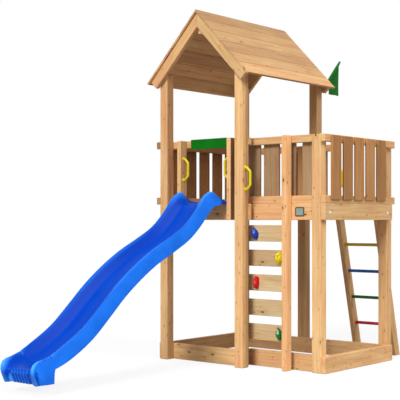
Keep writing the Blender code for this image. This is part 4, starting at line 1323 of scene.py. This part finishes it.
    def deck_places(self) -> list:
        """Two screws in each deck board over each joist; the last board starts beside a post.

        Returns:
            The places, as screws takes them.
        """
        boards = [0.295 + BOARD_WIDTH * board for board in range(7)]
        return (self.row(Side.UP, [0.487, 0.9965, 1.5575], self.pairs(boards), [self.deck_top])
                + self.row(Side.UP, [0.0675], self.pairs(boards[:6]), [self.deck_top])
                + self.row(Side.UP, [0.1125], self.pairs(boards[6:]), [self.deck_top]))

    def roof_places(self) -> list:
        """Two screws in each roof board over each rafter, and one in the lowest.

        Returns:
            The places, as screws takes them.
        """
        angle = math.radians(ROOF_TILT)
        quarters = [board + share for board in range(6) for share in (0.25, 0.75)][:-1]
        places = []
        for side in (-1, 1):
            out = Vector((side * math.sin(angle), 0.0, math.cos(angle)))
            for down in [quarter * self.roof_board for quarter in quarters]:
                x = self.ridge[0] + side * down * math.cos(angle)
                z = self.ridge[1] - down * math.sin(angle)
                places += [((x, y, z), out, self.proud) for y in self.rafters]
        return places

    def frame_places(self) -> list:
        """The visible screws of posts, beams, base boards and the ladder's rungs.

        Returns:
            The places, as screws takes them.
        """
        places = [place for entry in self.frame_rows for place in self.row(*entry)]
        for z in self.rung_heights:
            y = self.ladder_foot - z * math.tan(math.radians(LADDER_LEAN))
            places += self.row(Side.LEFT, [1.110], [y], [z]) + self.row(Side.RIGHT, [1.574], [y], [z])
        return places

    def caps(self) -> None:
        """Domed caps over the two bolts at the ends of the right beam."""
        shape = bmesh.new()
        for y in (0.262, 1.225):
            made = bmesh.ops.create_uvsphere(shape, u_segments=24, v_segments=12, radius=self.cap_radius)
            bmesh.ops.scale(shape, vec=(self.cap_height, 1.0, 1.0), verts=made["verts"])
            bmesh.ops.translate(shape, vec=Vector((1.715, y, 1.364)) - TOWER_CORNER, verts=made["verts"])
        finish_piece("bolt_caps", shape, [self.white])


@dataclass
class Flag:
    """A small cloth flag that hangs from the slanting staff by a sewn sleeve."""

    cloth: Material
    near: float = 1.438          # from the tower's front to the cloth's upright edges
    far: float = 1.630
    foot: tuple = (0.929, 1.2681, 2.500)     # the staff's foot
    staff_radius: float = 0.011
    hem: float = 2.540
    cloth_gap: float = 1.6 * MM  # from the staff to the cloth's upper edge
    sleeve_gap: float = 0.5 * MM
    fold: float = 0.005
    opening: float = 1.6         # how quickly the folds open below the staff
    waves: tuple = (10.0, 1.4, 0.4)      # the folds' turn along the cloth and down it, and their start
    thickness: float = 0.9 * MM

    def build(self) -> None:
        sleeve = self.sleeve()
        shape = bmesh.new()
        bmesh.ops.create_grid(shape, x_segments=28, y_segments=24, size=0.5)
        for vert in shape.verts:
            along, down = vert.co.x + 0.5, 0.5 - vert.co.y
            y = self.near + (self.far - self.near) * along
            top = self.foot[2] + (y - self.foot[1]) - (self.staff_radius + self.cloth_gap) * math.sqrt(2)
            turn = self.waves[0] * along + self.waves[1] * down + self.waves[2]
            x = self.foot[0] + self.fold * min(1.0, self.opening * down) * math.sin(turn)
            vert.co = Vector((x, y, top + (self.hem - top) * down)) - TOWER_CORNER
        flag = finish_piece("flag_sheet", shape, [self.cloth], 80.0)
        thick = flag.modifiers.new("thickness", "SOLIDIFY")
        thick.thickness = self.thickness
        thick.offset = 0.0
        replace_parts(flag, "flag_cloth")

    def sleeve(self) -> Object:
        """Build the sewn sleeve round the staff, open at both ends.

        Returns:
            The sleeve.
        """
        slope = Vector((0.0, 1.0, 1.0)).normalized()
        middle_y = (self.near + self.far) / 2
        middle = Vector((self.foot[0], middle_y, self.foot[2] + middle_y - self.foot[1])) - TOWER_CORNER
        radius = self.staff_radius + self.sleeve_gap
        shape = bmesh.new()
        bmesh.ops.create_cone(
            shape, cap_ends=False, segments=24, radius1=radius, radius2=radius,
            depth=(self.far - self.near) * math.sqrt(2),
            matrix=Matrix.Translation(middle) @ slope.to_track_quat("Z", "Y").to_matrix().to_4x4())
        bmesh.ops.subdivide_edges(shape, cuts=12,
                                  edges=[edge for edge in shape.edges if edge.calc_length() > 0.1])
        piece = finish_piece("flag_sleeve", shape, [self.cloth])
        wall = piece.modifiers.new("thickness", "SOLIDIFY")
        wall.thickness = self.thickness
        wall.offset = 1.0
        return piece


def main() -> None:
    """Dress the frame, add what it lacks, and set up the picture."""
    logging.basicConfig(level=logging.INFO, format="%(name)s: %(message)s")
    bpy.context.scene.view_settings.view_transform = "Standard"
    PhotoCamera().build()
    Studio().build()
    TimberFrame().dress()
    made = Mouldings().build()
    steel = ZincPlatedSteel().build()
    SlideShell(made["slide_polyethylene"]).build()
    GripHandles(made["yellow_grip"]).build()
    ClimbingHolds(made, steel).build()
    SmallBoards(made["entry_board_green"], made["plate_grey"], made["plate_olive"]).build()
    Fixings(steel, made["white_cap"]).build()
    Flag(WovenPolyester().build()).build()


if __name__ == "__main__":
    main()
